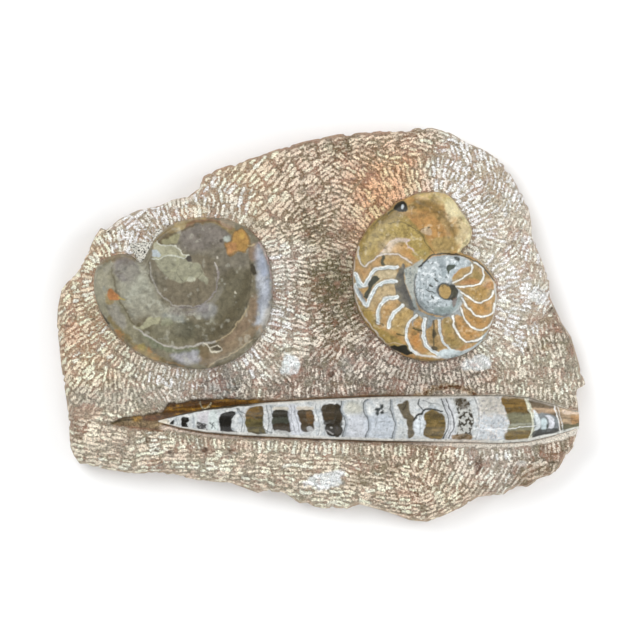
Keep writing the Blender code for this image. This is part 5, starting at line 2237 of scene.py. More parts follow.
        canvas.area([(48, 52.5), (55, 53), (58, 49.5), (61, 46.5), (55, 45.5), (49, 47), (46, 49)],
            (206, 146, 88), 0.9, 0.8)
        canvas.area([(60, 48), (67, 49), (72, 46), (67, 42), (62, 43)], (172, 158, 96), 1.0, 0.6)

    @staticmethod
    def _paint_chambers(canvas: Canvas) -> None:
        """The fill of each chamber, from the newest to the oldest.

        Args:
            canvas: The fossil's colours.
        """
        amber = (206, 140, 78)
        tan = (196, 158, 108)
        olive = (164, 134, 78)
        canvas.area([(22.5, 45), (26, 37), (31.5, 40), (34.5, 43.5), (40, 45.5), (40.5, 40), (33, 38),
            (30, 33), (27, 25), (22, 37)], (202, 148, 98), 0.9, 0.9)
        canvas.area([(40.5, 45), (47.5, 45.5), (53.5, 43.5), (58, 40), (50.5, 38), (41.5, 39)], tan, 0.8,
            0.9)
        canvas.area([(34.5, 34), (40.5, 37), (49, 36), (49, 30.5), (40.5, 30), (35, 25), (33, 27.5)],
            (200, 184, 154), 0.9, 0.85)
        canvas.area([(31.5, 17.5), (35, 24), (41.5, 27.5), (49, 28), (49, 20), (41.5, 18.5), (36, 14),
            (34, 8.5), (31, 11.5)], (196, 164, 122), 0.9, 0.95)
        canvas.area([(37.5, 14), (43, 17), (50, 17.5), (52, 11.5), (46, 8.5), (43, 2.5), (44.5, -2),
            (40, -2), (37.5, 4), (37, 10)], (202, 150, 96), 0.8, 0.95)
        canvas.area([(46, 7), (52, 11.5), (58, 10), (61, 8.5), (58, 4), (56, -2), (55, -7.5), (50, -5),
            (45, -1)], (198, 162, 106), 0.8, 0.95)
        canvas.area([(24, 14), (34, 8), (37, -1), (43, -4), (55, -13), (60, -19), (52, -16), (43, -13),
            (35, -5)], (172, 138, 66), 1.0, 0.95)
        canvas.area([(56.5, -4.5), (59.5, 1), (64, 4), (66.5, 3), (65.5, -4.5), (65.5, -11), (69, -17),
            (61, -19), (57, -12)], amber, 0.8, 0.95)
        canvas.area([(58, -6), (64, -4), (65, -11), (61, -16), (58, -11)], (222, 134, 60), 1.2, 0.8)
        canvas.area([(71, -0.5), (74, 3), (76, 1), (77, -6.5), (78.5, -14), (75.5, -17), (72, -13.5),
            (70, -6.5)], (176, 136, 92), 0.7, 0.95)
        for outline, fill in (
            ([(80, 4), (84, 5.5), (86, 1), (88.5, -6.5), (94.5, -12), (90, -16), (84, -15),
              (81, -8), (79, -2)], olive),
            ([(89, 5.5), (92, 4), (96, -2), (103, -4.5), (103.5, -8), (97.5, -11), (91.5, -8),
              (87.5, -2)], amber),
            ([(92, 15), (96, 9), (102, 5.5), (110.5, 5), (109, -0.5), (102, -3), (96, 0),
              (91.5, 8)], (204, 136, 66)),
            ([(94, 19), (100.5, 16), (108, 16), (112.5, 18.5), (112, 10), (106.5, 5.5), (100, 7),
              (94.5, 13)], (210, 142, 72)),
            ([(92, 22), (99, 24), (106, 25), (112, 27.5), (111, 20), (105, 16), (98, 17.5)],
             (196, 150, 86)),
        ):
            canvas.area(outline, fill, 0.8, 0.95)
        canvas.area([(106, 26), (110, 30), (112, 28), (112, 24), (107, 24)], (218, 138, 88), 1.0, 0.8)
        canvas.area([(88.5, 27), (96, 31), (100, 36), (101, 38), (105, 34), (106, 30), (102, 27),
            (95, 26)], olive, 0.8, 0.95)
        canvas.area([(90, 27), (95, 30), (100, 30), (104, 28), (98, 26)], (212, 134, 84), 1.0, 0.9)
        canvas.area([(86, 27.5), (88.5, 33), (91.5, 36.5), (96, 38), (98.5, 37), (97, 33.5),
            (91.5, 30.5)], (192, 152, 102), 0.8, 0.95)
        canvas.clouds((216, 160, 104), 2.8, 0.25, 0.9, 0.4, 7, canvas.within([(86, 28), (98, 38),
            (112, 28), (110, 5), (94, -12), (80, -8), (57, -8), (69, 7), (91, 11)], 2))
        canvas.clouds((126, 90, 46), 2.4, 0.2, 0.9, 0.6, 8, canvas.within([(24, 14), (46, 7), (58, -7),
            (94, -12), (110, 5), (112, 28), (91, 22), (84, 6), (46, 15)], 2))

    @staticmethod
    def _paint_inner_whorls(canvas: Canvas) -> None:
        """The pale grained inner whorls, their grey-blue splashes and the grey crescent of painted shade.

        Args:
            canvas: The fossil's colours.
        """
        # The grey crescent: painted shade on the steep wall left of the inner whorls
        canvas.area([(54, 40), (49.5, 33), (48, 26), (49.5, 18.5), (53.5, 13), (58, 10), (62, 8.5),
            (61.5, 13), (58, 18.5), (54.5, 31), (55, 37)], (102, 102, 100), 0.5, 0.98)
        canvas.area([(55, 37), (61, 40), (67, 43.5), (65.5, 37), (62, 30.5), (61, 22), (62.5, 14.5),
            (64, 10), (61, 12), (56, 25), (55, 31)], (176, 186, 182), 0.7, 0.9)
        canvas.clouds((112, 126, 132), 1.4, 0.1, 0.7, 0.7, 9, canvas.within([(55, 37), (61, 38), (61, 30),
            (58, 25)], 0.6))
        canvas.area([(62, 10), (67, 8), (74, 6), (81, 6), (87, 9), (91, 11.5), (92, 8.5), (91.5, 5),
            (88.5, 7), (86.5, 2), (84, 5.5), (81, 5), (78, 2.5), (74.5, 3.5), (72, -0.5), (69, -3),
            (67, 3), (64, 5.5), (61, 2.5), (59, -0.5), (60, 5.5)], (138, 152, 160), 0.6, 0.95)
        canvas.area([(64, 37), (69, 42.5), (76, 45.5), (84, 46), (91.5, 45), (98, 42), (100, 39),
            (94.5, 38), (90, 36), (86, 30), (88.5, 25), (91.5, 22), (93, 17.5), (91.5, 11.5), (86, 8),
            (80, 6.5), (74, 7.5), (68, 10), (63.5, 15), (61.5, 22), (62, 30.5)], (182, 194, 200), 0.6,
            0.98)
        canvas.clouds((104, 118, 128), 1.5, 0.25, 0.8, 0.75, 10, canvas.within([(64, 37), (73, 43.5),
            (80, 42), (84, 33), (82, 14.5), (91.5, 14.5), (86, 8), (74, 7.5), (63.5, 15), (61.5, 22)],
            0.8))
        canvas.clouds((226, 232, 234), 1.8, 0.1, 0.7, 0.8, 11, canvas.within([(64, 36), (73, 42),
            (84, 45), (98, 41), (91.5, 37), (84, 31), (84, 11.5), (74, 9), (64, 17.5), (62.5, 30)], 0.8))
        canvas.line([(62, 33), (61, 26), (61.5, 20), (63.5, 14.5), (68, 9.5), (80, 6.5), (85.5, 8)], 0.9,
            (104, 118, 126), 0.4, 0.9)
        canvas.line([(64, 34.5), (65, 27.5), (64, 22), (65.5, 16), (70, 11.5)], 0.5, (120, 134, 144), 0.3,
            0.6)
        canvas.area([(75.5, 45), (80, 44), (82, 40), (81.5, 34), (80, 31), (78, 37)], (140, 156, 166),
            0.8, 0.7)
        canvas.area([(83, 39), (88, 39.5), (87, 37.5), (84, 34.5), (82.5, 32.5)], (66, 82, 80), 0.4, 0.95)
        canvas.area([(87, 44.5), (90.5, 44), (90.5, 42), (88.5, 42)], (52, 60, 62), 0.4, 0.9)
        canvas.area([(75, 11.5), (82, 12), (88.5, 17.5), (91.5, 17.5), (88.5, 10), (81, 7), (75, 8)],
            (140, 158, 160), 0.8, 0.8)

    @staticmethod
    def _paint_walls(canvas: Canvas) -> None:
        """The white walls between the chambers, the white and dark edges of the shell, a painted shadow
        line and a painted highlight on the lower right rim.

        Args:
            canvas: The fossil's colours.
        """
        white = (240, 243, 238)
        bluish = (230, 235, 235)
        for wall, width, colour in (
            ([(86.5, 27.5), (96, 33), (98.5, 36), (99, 39.5)], 1.25, white),
            ([(88.5, 25), (101.5, 26), (105.5, 29), (106.5, 33.5), (105, 37.5), (100.5, 40.5)],
             1.35, white),
            ([(91.5, 21.5), (100.5, 15.5), (106.5, 15.5), (111.5, 18.5), (113, 22)], 1.3, white),
            ([(92, 17), (96, 11), (101.5, 6.5), (108, 5.5), (112.5, 8), (113.5, 14)], 1.35, white),
            ([(91.5, 11), (93.5, 4.5), (98, -1), (103.5, -3.5), (109.5, -1.5), (112.5, 2.5)],
             1.35, white),
            ([(86.5, 6), (87, -0.5), (90.5, -7.5), (95, -11), (101.5, -10), (106.5, -7.5)],
             1.5, white),
            ([(77, 3.5), (77.5, -3.5), (79.5, -10.5), (84, -15.5), (87, -17)], 1.7, bluish),
            ([(68, 4), (67, -3.5), (68, -10.5), (71, -15.5), (76.5, -19)], 2.7, bluish),
        ):
            canvas.edged_line(wall, width, colour)
        canvas.line([(66, 1), (65, -5), (66, -11), (68.5, -15.5)], 0.5, (140, 152, 156), 0.3, 0.7)
        canvas.line([(69.5, 0), (68.5, -6), (70, -11), (73, -15.5)], 0.5, (150, 162, 168), 0.3, 0.7)
        canvas.edged_line([(62.5, 6), (58, 2.5), (56, -3), (56, -9), (58, -15), (62, -19)], 1.9,
            (238, 241, 239))
        canvas.edged_line([(53.5, 12.5), (48, 8.5), (45, 3), (44.5, -1.5)], 2.6, (236, 241, 239), 0.5)
        canvas.edged_line([(49.5, 18.5), (43.5, 17.5), (39.5, 14), (37.5, 8.5), (37.5, 1.5)], 2.8,
            (236, 242, 240), 0.5)
        canvas.line([(39, 13), (38.5, 8.5), (38.5, 3)], 0.7, (150, 140, 120), 0.4, 0.7)
        canvas.edged_line([(49, 28.5), (41.5, 28), (36, 24.5), (32.5, 19), (30, 13), (27, 16), (24, 20.5),
            (22.5, 26)], 2.8, (236, 242, 241), 0.5)
        canvas.line([(48, 27.5), (42, 27), (37, 23.5), (33.5, 18.5)], 0.5, (136, 146, 148), 0.3, 0.7)
        canvas.edged_line([(50, 37.5), (41.5, 37.5), (35.5, 36), (32, 32), (28.5, 26), (24.5, 29),
            (22.5, 33.5)], 2.8, (238, 242, 240), 0.5)
        canvas.line([(49.5, 36.5), (41.5, 36.5), (35.5, 34.5), (32.5, 31)], 0.5, (146, 154, 156), 0.3,
            0.7)
        canvas.edged_line([(59.5, 40.5), (49.5, 46), (39, 46), (31, 40), (28.5, 38), (26, 40.5),
            (24.5, 45)], 1.1, (222, 216, 210), 0.4, 0.95)
        canvas.line([(24.5, 51), (24, 47), (25.5, 43.5)], 1.2, (222, 222, 218), 0.4, 0.8)
        canvas.line([(24, 53), (22, 45), (21, 26), (25.5, 9.5), (30, 2.5), (43.5, -13.5), (52, -19.5)],
            0.9, (206, 200, 192), 0.4, 0.85)
        canvas.line([(23, 52.5), (21, 44), (20.5, 26), (24.5, 9.5), (28.5, 3)], 0.6, (70, 66, 62), 0.3,
            0.85)
        canvas.line([(30, 1), (37, -7.5), (45, -15), (53.5, -20.5), (70, -23.5), (78.5, -22.5)], 0.8,
            (104, 80, 62), 0.4, 0.8)
        # The bluish white lower right rim: partly the shell's own pale edge, partly a painted highlight
        canvas.area([(76, -19), (81, -16), (88.5, -17), (96, -16), (103, -11), (108, -5), (112, -0.5),
            (113.5, -2), (109.5, -10.5), (103, -17), (94.5, -21.5), (85, -22.5), (78.5, -22)],
            (196, 210, 214), 0.6, 0.95)
        canvas.clouds((130, 150, 158), 1.4, 0.2, 0.8, 0.75, 12, canvas.within([(78, -20), (88.5, -18),
            (103, -12), (112, -1), (112.5, -5), (103, -17), (88.5, -22.5)], 0.6))
        canvas.line([(114, 26), (114.5, 17.5), (114, 8.5), (112, -0.5)], 1.3, (216, 220, 218), 0.5, 0.9)
        canvas.line([(96, -11.5), (101.5, -11), (107.5, -8), (111, -3)], 0.5, (90, 96, 96), 0.3, 0.8)
        canvas.line([(62.5, -19), (68.5, -20.5), (78.5, -21.5)], 1.4, (222, 222, 216), 0.5, 0.9)
        canvas.line([(99.5, 42), (106, 38), (111, 32), (114, 26)], 0.9, (206, 206, 196), 0.4, 0.8)
        canvas.line([(64, 85.5), (71.5, 87.5), (79.5, 87.5), (85.5, 85)], 0.6, (128, 122, 112), 0.4, 0.7)
        # Painted shadow along the step where the inner whorls meet the body chamber
        canvas.line([(64, 37.5), (68, 41.5), (72.5, 45.5), (81.5, 47), (95, 44.5), (106.5, 37.5),
            (113.5, 29)], 1.0, (62, 62, 62), 0.35, 0.95)

    @staticmethod
    def _paint_umbilicus(canvas: Canvas) -> None:
        """The orange disc in the middle with its dark ring, and the blue-black beside it.

        Args:
            canvas: The fossil's colours.
        """
        canvas.spot((81.7, 21.8), (6.6, 5.6), (60, 66, 70), -20, 0.12, 0.95)
        canvas.area([(84, 26), (87.5, 26), (89.5, 22), (88.5, 17.5), (85.5, 16.5), (84, 20)],
            (42, 50, 60), 0.4, 0.95)
        canvas.spot((80.8, 21.8), (4.1, 4.5), (192, 154, 98), 0, 0.1)
        canvas.line([(79, 25), (81, 26.5), (83, 25.5)], 0.7, (96, 70, 40), 0.3, 0.8)
        canvas.area([(86, 17), (88.5, 17.5), (88.5, 14), (86, 11.5)], (128, 96, 84), 0.6, 0.6)

    @staticmethod
    def _paint_marks(canvas: Canvas) -> None:
        """The black blots and the dark marks within the chambers.

        Args:
            canvas: The fossil's colours.
        """
        black = (20, 17, 16)
        canvas.area([(47, 76), (49.5, 79.5), (54, 81.5), (57, 76), (54, 74), (48, 75)], black, 0.35)
        canvas.line([(48, 75), (46, 74.5), (44, 73)], 0.9, (40, 32, 28), 0.4, 0.9)
        canvas.line([(43, 72.5), (38.5, 69), (34.5, 65.5)], 0.7, (90, 70, 50), 0.4, 0.7)
        canvas.spot((53.2, 77.3), (1.0, 1.2), (198, 206, 210), 0, 0.3)
        canvas.area([(45, -15), (49.5, -13.5), (54.5, -13), (57, -16), (60, -19), (55, -19.5),
            (49.5, -17.5)], black, 0.35)
        canvas.line([(43.5, -13), (48, -12), (53.5, -13)], 0.6, (196, 176, 160), 0.3, 0.7)
        canvas.area([(35, 32), (38, 30), (34, 26), (31.5, 20.5), (30, 16.5), (28, 19.5), (30, 23.5),
            (31, 28)], (66, 74, 70), 0.4, 0.95)
        canvas.area([(23.5, 24.5), (27, 20.5), (29, 14.5), (25.5, 18.5)], (122, 134, 144), 0.7, 0.8)
        canvas.area([(22.5, 32), (27, 25), (28.5, 24.5), (25, 24.5), (23, 27.5)], (176, 196, 204), 0.6,
            0.8)
        canvas.area([(39.5, 45.5), (41.5, 45), (41, 42), (42, 39.5), (39.5, 39.5)], (76, 84, 78), 0.4,
            0.9)
        canvas.area([(73.5, 30.5), (75.5, 29.5), (76.5, 28), (74.5, 29)], (36, 42, 46), 0.35)
        canvas.line([(71, 26), (72.5, 25)], 0.9, (60, 70, 78), 0.35)
        canvas.line([(68.5, 23.5), (71, 22), (73.5, 21)], 0.7, (84, 96, 106), 0.35)
        canvas.line([(72.5, 19), (73.5, 17.5)], 0.9, (60, 70, 78), 0.35)
        canvas.line([(60, -1.5), (62.5, -3), (65.5, -4)], 1.0, (52, 40, 32), 0.4)
        canvas.line([(49.5, -6), (52, -6.5), (54.5, -7)], 0.8, (60, 52, 40), 0.4)
        canvas.line([(74, 3), (73.5, -2), (73.5, -8)], 1.2, (72, 66, 62), 0.4, 0.9)
        canvas.spot((73.8, -5.9), (1.5, 2.6), (60, 54, 50), 0, 0.3, 0.9)
        canvas.line([(73.5, -8), (74, -14)], 0.8, (70, 62, 58), 0.4, 0.9)
        canvas.spot((74.3, -15.4), (2.0, 1.2), (62, 56, 54), 0, 0.3, 0.9)
        canvas.line([(23, 7), (27, 8.5), (32.5, 10)], 0.5, (110, 76, 50), 0.4, 0.7)
        canvas.line([(35, 3), (37.5, 1.5), (40.5, 0)], 0.8, (96, 70, 36), 0.4, 0.7)


@dataclass
class Orthoceras:
    """The straight cone: its polished top arched, its lower side a round shell in the bed."""

    station_cuts: tuple[int, int] = (23, 23)
    top_columns: int = 72
    bottom_columns: int = 24
    finish: PolishedFossil = PolishedFossil("white_and_brown_calcite", roughness=0.26,
                                            grain=1.1, grain_depth=0.36, coat=0.08)

    def build(self) -> bpy.types.Object:
        """Make the cone from a round bar with many rings, and dress it.

        Returns:
            The cone.
        """
        columns = self.top_columns + self.bottom_columns
        length = (CONE_END_X - CONE_TIP_X) * MM
        bpy.ops.object.select_all(action="DESELECT")
        bpy.ops.mesh.primitive_cylinder_add(vertices=columns, radius=0.01, depth=length,
                                            end_fill_type="NGON",
                                            rotation=(0, math.pi / 2, 0))
        made = bpy.context.object
        made.name = "orthoceras_cone"
        bpy.ops.object.transform_apply(location=True, rotation=True, scale=True)
        for cuts in self.station_cuts:
            bpy.ops.object.mode_set(mode="EDIT")
            bpy.ops.mesh.select_mode(type="EDGE")
            bpy.ops.mesh.select_all(action="DESELECT")
            bpy.ops.object.mode_set(mode="OBJECT")
            self._select_lengthwise(made)
            bpy.ops.object.mode_set(mode="EDIT")
            bpy.ops.mesh.subdivide(number_cuts=cuts, quadcorner="STRAIGHT_CUT")
            bpy.ops.object.mode_set(mode="OBJECT")
        places = self._shape(mesh_places(made))
        place_mesh(made, places)
        bpy.ops.object.mode_set(mode="EDIT")
        bpy.ops.mesh.select_all(action="SELECT")
        bpy.ops.mesh.normals_make_consistent(inside=False)
        bpy.ops.object.mode_set(mode="OBJECT")
        paint_colours(made, "paint", self.paint(places))
        paint_floats(made, "wall", (places[:, 2] < CONE_AXIS_Z - 1).astype(float))
        made.data.materials.append(self.finish.make())
        bpy.ops.object.shade_smooth_by_angle(angle=math.radians(40))
        log.info("orthoceras: %d faces", len(made.data.polygons))
        return made

    @staticmethod
    def _select_lengthwise(made: bpy.types.Object) -> None:
        """Select the edges that run along the bar.

        Args:
            made: The bar.
        """
        places = mesh_places(made)
        for edge in made.data.edges:
            first, second = edge.vertices
            edge.select = bool(abs(places[first, 0] - places[second, 0]) > 0.2)

    def _shape(self, places: np.ndarray) -> np.ndarray:
        """Give each ring of the bar the cut of the cone at its station.

        Args:
            places: The round bar's vertices.

        Returns:
            Their new places.
        """
        columns = self.top_columns + self.bottom_columns
        x = np.clip(places[:, 0] + (CONE_TIP_X + CONE_END_X) / 2, CONE_TIP_X, CONE_END_X)
        turn = np.arctan2(places[:, 1], places[:, 2]) % (2 * math.pi)
        column = np.round(turn / (2 * math.pi) * columns + self.top_columns / 2) % columns
        half = cone_half_widths(x)[0]
        radius = cone_radius(x)
        across = half * (2 * column / self.top_columns - 1)
        top_z = POLISH_AXIS_Z + np.sqrt(np.maximum(polish_radius(x) ** 2 - across ** 2, 0))
        cut_z = POLISH_AXIS_Z + np.sqrt(np.maximum(polish_radius(x) ** 2 - half ** 2, 0))
        start = np.arctan2(cut_z - CONE_AXIS_Z, half)
        share = (column - self.top_columns) / self.bottom_columns
        angle = start - share * (math.pi + 2 * start)
        on_top = column <= self.top_columns
        y = np.where(on_top, across, radius * np.cos(angle))
        z = np.where(on_top, top_z, CONE_AXIS_Z + radius * np.sin(angle))
        return np.column_stack([x, cone_centre_y(x) + y, z])

    def paint(self, points: np.ndarray) -> np.ndarray:
        """The chambers from the tip to the wide end, and the white shell along both edges, with painted
        highlights on the lower side.

        Args:
            points: The places in plan.

        Returns:
            One linear colour for each place.
        """
        canvas = Canvas(points, (208, 211, 210), 300, 0.5)
        canvas.clouds((178, 188, 196), 2.2, 0.1, 0.9, 0.5, 1)
        canvas.clouds((230, 230, 226), 2.8, 0.2, 0.9, 0.6, 2)
        self._paint_tip(canvas)
        self._paint_middle(canvas)
        self._paint_wide_end(canvas)
        self._paint_shell(canvas)
        canvas.streak(0.65, 12)
        canvas.mute((158, 146, 112), 0.3)
        canvas.clouds((120, 124, 120), 1.5, 0.5, 1.1, 0.4, 11)
        canvas.deepen(1.34, 1.17)
        return canvas.colours

    @staticmethod
    def _wall_lines(canvas: Canvas, wall: list, lines: list, soft: float = 0.3) -> None:
        """Draw a wall between two chambers as lines that run side by side.

        Args:
            canvas: The fossil's colours.
            wall: The knots of the wall.
            lines: For each line its shift along X, width, colour and how much it covers.
            soft: How wide the lines' edges fade.
        """
        for shift, width, colour, strength in lines:
            canvas.line([(x + shift, y) for x, y in wall], width, colour, soft, strength)

    def _paint_tip(self, canvas: Canvas) -> None:
        """The narrow chambers at the tip, black and white.

        Args:
            canvas: The fossil's colours.
        """
        black = (24, 20, 20)
        canvas.area([(-107.5, -64.5), (-105, -62), (-101, -62), (-100, -67.5), (-105, -67)],
            (226, 216, 196), 0.6, 0.9)
        canvas.area([(-97, -62), (-97.5, -65), (-97.5, -67), (-99.5, -66.5), (-100, -65)], black, 0.3,
            0.95)
        canvas.line([(-95.5, -61), (-95, -64), (-96, -67.5)], 0.6, (150, 158, 160), 0.3, 0.7)
        canvas.line([(-94, -60.5), (-93.5, -64), (-94, -67.5)], 0.6, (166, 174, 176), 0.3, 0.6)
        canvas.area([(-91.5, -61.5), (-87, -61), (-86.5, -63), (-88.5, -64.5), (-88, -66.5), (-86.5, -69),
            (-90, -69), (-92, -66.5)], black, 0.35)
        canvas.line([(-84.5, -59.5), (-83.5, -64), (-84.5, -69)], 0.6, (160, 168, 172), 0.3, 0.7)
        canvas.area([(-81, -59), (-74, -57), (-72, -60), (-75, -64), (-80, -64)], (204, 200, 204), 0.9,
            0.8)
        canvas.area([(-81.5, -64), (-78, -65), (-75, -64.5), (-76, -66.5), (-74.5, -70), (-79, -70),
            (-81.5, -67.5)], (52, 46, 46), 0.4, 0.85)
        canvas.clouds((200, 200, 196), 1.3, 0.2, 0.6, 0.85, 3, canvas.within([(-82, -63), (-74, -63),
            (-74, -70.5), (-82, -70.5)], 0.4))
        canvas.area([(-74, -59), (-69, -56), (-68, -69.5), (-73.5, -70)], (206, 216, 213), 0.9, 0.8)
        canvas.line([(-73.5, -64), (-71.5, -66), (-70, -67.5)], 0.6, (84, 92, 92), 0.3, 0.8)
        canvas.line([(-70.5, -64), (-72, -66.5), (-72.5, -67.5)], 0.6, (84, 92, 92), 0.3, 0.8)
        canvas.area([(-65, -58), (-57.5, -57), (-56.5, -59), (-58.5, -61.5), (-59.5, -65.5), (-59, -69),
            (-55, -70.5), (-56, -71.5), (-65, -71), (-66.5, -66.5), (-67, -61.5)], black, 0.35)
        canvas.line([(-63.5, -60.5), (-64.5, -65.5), (-63.5, -69.5)], 0.5, (70, 66, 64), 0.3, 0.5)
        self._wall_lines(canvas, [(-56, -55), (-52.5, -61), (-52, -65.5), (-53, -72)],
            [(0, 0.55, (122, 130, 134), 0.85), (1.5, 0.5, (140, 148, 150), 0.8)])
        canvas.line([(-55.5, -55), (-52, -57.5), (-49.5, -58.5)], 0.5, (96, 96, 96), 0.3, 0.8)
        canvas.area([(-47, -55), (-39, -54), (-38, -60.5), (-38, -66.5), (-36.5, -72), (-46, -72.5),
            (-49.5, -67.5), (-50, -62)], (108, 96, 48), 0.4)
        canvas.area([(-48, -55), (-39, -54), (-39, -61), (-44, -62), (-50, -61), (-49, -58)],
            (140, 98, 34), 1.1, 0.85)
        canvas.area([(-41, -54), (-38.5, -54), (-38, -58), (-40, -58)], (84, 58, 24), 0.5, 0.8)
        canvas.clouds((80, 72, 34), 2.2, 0.2, 0.8, 0.8, 4, canvas.within([(-49, -62), (-38, -62),
            (-37, -71.5), (-46.5, -72)], 0.6))
        self._wall_lines(canvas, [(-36, -53.5), (-34.5, -60.5), (-34.5, -66.5), (-36, -72.5)],
            [(0, 0.55, (130, 136, 138), 0.8), (2.5, 0.55, (138, 144, 146), 0.8)])
        canvas.line([(-38, -66.5), (-35.5, -69.5), (-32.5, -70.5)], 0.5, (110, 112, 112), 0.3, 0.8)

    def _paint_middle(self, canvas: Canvas) -> None:
        """The dark blocks and the white ones between them, up to the long white chambers.

        Args:
            canvas: The fossil's colours.
        """
        canvas.area([(-31, -54), (-22, -54), (-22, -56), (-31, -56.5)], (212, 204, 188), 0.6, 0.8)
        canvas.area([(-31, -56.5), (-21.5, -56.5), (-21, -61.5), (-31.5, -61.5)], (32, 28, 20), 0.4)
        canvas.area([(-31.5, -61), (-21, -61), (-20.5, -65), (-31.5, -65)], (84, 88, 76), 0.5)
        canvas.area([(-31.5, -65), (-20.5, -65), (-20, -70.5), (-29.5, -71)], (46, 28, 22), 0.4)
        canvas.area([(-30, -69), (-26.5, -69.5), (-22.5, -70.5), (-20, -71.5), (-29.5, -72)],
            (208, 208, 204), 0.5, 0.8)
        canvas.area([(-21.5, -53), (-16, -53), (-14.5, -61), (-12, -70.5), (-19, -72), (-21, -64.5)],
            (214, 217, 224), 0.6, 0.8)
        canvas.line([(-20, -53), (-19.5, -60.5), (-17.5, -70.5)], 0.5, (150, 152, 158), 0.3, 0.8)
        canvas.line([(-17.5, -53), (-17, -59.5), (-15, -66.5), (-14.5, -71.5)], 0.5, (140, 142, 150), 0.3,
            0.8)
        canvas.area([(-16, -54), (-6, -54), (-5.5, -56), (-15, -56.5)], (212, 200, 182), 0.6, 0.8)
        canvas.area([(-15.5, -56.5), (-5.5, -56.5), (-5, -65.5), (-5, -69.5), (-12, -70), (-14, -63.5)],
            (62, 38, 18), 0.4)
        canvas.area([(-10, -57), (-6, -57), (-5, -64), (-9, -64)], (122, 78, 28), 1.0, 0.9)
        canvas.area([(-14, -61.5), (-5, -61.5), (-5, -63.5), (-13.5, -64)], (98, 78, 58), 0.5, 0.7)
        canvas.area([(-9.5, -66.5), (-5.5, -67.5), (-5, -70), (-9, -70)], (196, 196, 194), 0.5, 0.85)
        canvas.line([(-4, -52), (-1.5, -66.5), (-1.5, -72.5)], 0.5, (140, 146, 150), 0.3, 0.8)
        canvas.line([(-1, -52), (2, -66.5), (2, -72.5)], 0.5, (150, 156, 160), 0.3, 0.8)
        canvas.area([(1, -53), (11.5, -52.5), (12, -58), (1.5, -58.5)], (86, 76, 66), 0.4)
        canvas.area([(1.5, -55), (12, -54.5), (13, -64), (2.5, -64)], (54, 32, 18), 0.5)
        canvas.area([(2.5, -63), (13, -63), (13, -66.5), (3, -66.5)], (84, 80, 74), 0.5, 0.85)
        canvas.area([(3, -66), (13, -66), (13, -72.5), (4.5, -72.5)], (30, 22, 20), 0.4)
        canvas.spot((10.3, -67.1), (1.1, 1.3), (214, 214, 212), 0, 0.3)
        canvas.spot((6.8, -67.7), (0.6, 0.7), (170, 168, 164), 0, 0.4)
        canvas.line([(3.5, -69.5), (5.5, -70.5), (7.5, -72)], 0.7, (196, 194, 190), 0.4, 0.8)
        canvas.area([(9, -53.5), (12, -53.5), (12.5, -63.5), (12, -73), (9, -73)], (40, 26, 20), 0.5, 0.9)
        canvas.area([(16, -52), (21, -50), (26, -52), (27, -57), (20, -59), (16, -57)], (206, 204, 188),
            2.4, 0.7)
        canvas.area([(17, -60), (29, -60), (30, -73), (17, -73)], (204, 208, 218), 2.4, 0.6)
        canvas.area([(32, -60), (46, -60), (47, -74), (31, -73)], (194, 204, 218), 2.4, 0.6)
        walls = (
            [(13.8, -48.5), (12.6, -54.7), (14.9, -61.1), (15.7, -66), (13.8, -73.2)],
            [(30.5, -48.5), (27.9, -51.3), (28.4, -57.4), (31.1, -63.8), (30.7, -69.2),
             (28.8, -73.8)],
            [(46.2, -48), (45, -52.5), (46.2, -58.1), (48.3, -64.1), (47.7, -69.7),
             (46.2, -74.2)],
        )
        for shift, shade in ((0.0, (92, 100, 106)), (1.1, (166, 174, 182))):
            for wall in walls:
                self._wall_lines(canvas, wall, [(shift, 0.8, shade, 0.85)], 0.4)
        for lobe in ((39.6, -53.8), (37, -55.6), (37, -58), (40.2, -57.6)):
            canvas.spot(lobe, (1.3, 1.3), (50, 58, 58), 0, 0.5, 0.95)
        canvas.line([(35.5, -56), (38, -55), (41, -56)], 0.7, (80, 88, 92), 0.4, 0.85)
        canvas.line([(37, -59.5), (38, -55), (40.5, -52.5)], 0.7, (80, 88, 92), 0.4, 0.85)
        canvas.line([(35.5, -58.5), (38, -55.5), (38.5, -52.5)], 0.5, (100, 108, 112), 0.4, 0.8)

    def _paint_wide_end(self, canvas: Canvas) -> None:
        """The brown, spotted and golden chambers towards the wide end, with painted highlights along the
        lower side.

        Args:
            canvas: The fossil's colours.
        """
        canvas.area([(49.5, -52.5), (53, -51.5), (57, -49.5), (58, -52.5), (58, -57), (61, -60.5),
            (62, -65.5), (60.5, -73), (57, -74), (56.5, -64), (53.5, -60), (51, -56)], (118, 104, 80),
            0.45, 0.95)
        canvas.line([(56, -51), (55, -54), (54, -56)], 0.7, (60, 56, 50), 0.4, 0.8)
        canvas.area([(61, -63), (65, -60), (69, -62), (68.5, -67.5), (66.5, -72.5), (62, -72.5),
            (60.5, -67.5)], (214, 221, 226), 0.7, 0.9)
        canvas.line([(64.5, -60), (65, -65.5), (64.5, -72)], 0.5, (150, 158, 164), 0.3, 0.8)
        canvas.line([(60.5, -62), (62.5, -60), (65.5, -58), (67, -55.5), (70, -55), (73.5, -56),
            (79, -56.5)], 1.0, (54, 56, 56), 0.35, 0.95)
        canvas.line([(65, -48), (64, -51.5), (65.5, -54.5), (67.5, -56)], 0.7, (74, 78, 80), 0.3, 0.9)
        canvas.line([(67, -49.5), (71.5, -51.5), (77.5, -52)], 0.5, (110, 116, 120), 0.3, 0.7)
        canvas.area([(67.5, -58), (72, -56), (79, -58.5), (81, -62.5), (81, -68.5), (79, -75),
            (72, -74.5), (67, -72), (68.5, -65.5)], (122, 98, 46), 0.45)
        canvas.clouds((150, 122, 70), 1.8, 0.2, 0.7, 0.85, 5, canvas.within([(68, -59.5), (79, -59.5),
            (80.5, -70), (78, -74), (68.5, -72)], 0.5))
        canvas.area([(69, -57.5), (78, -57.5), (80, -60.5), (73.5, -61)], (104, 84, 48), 0.6, 0.7)
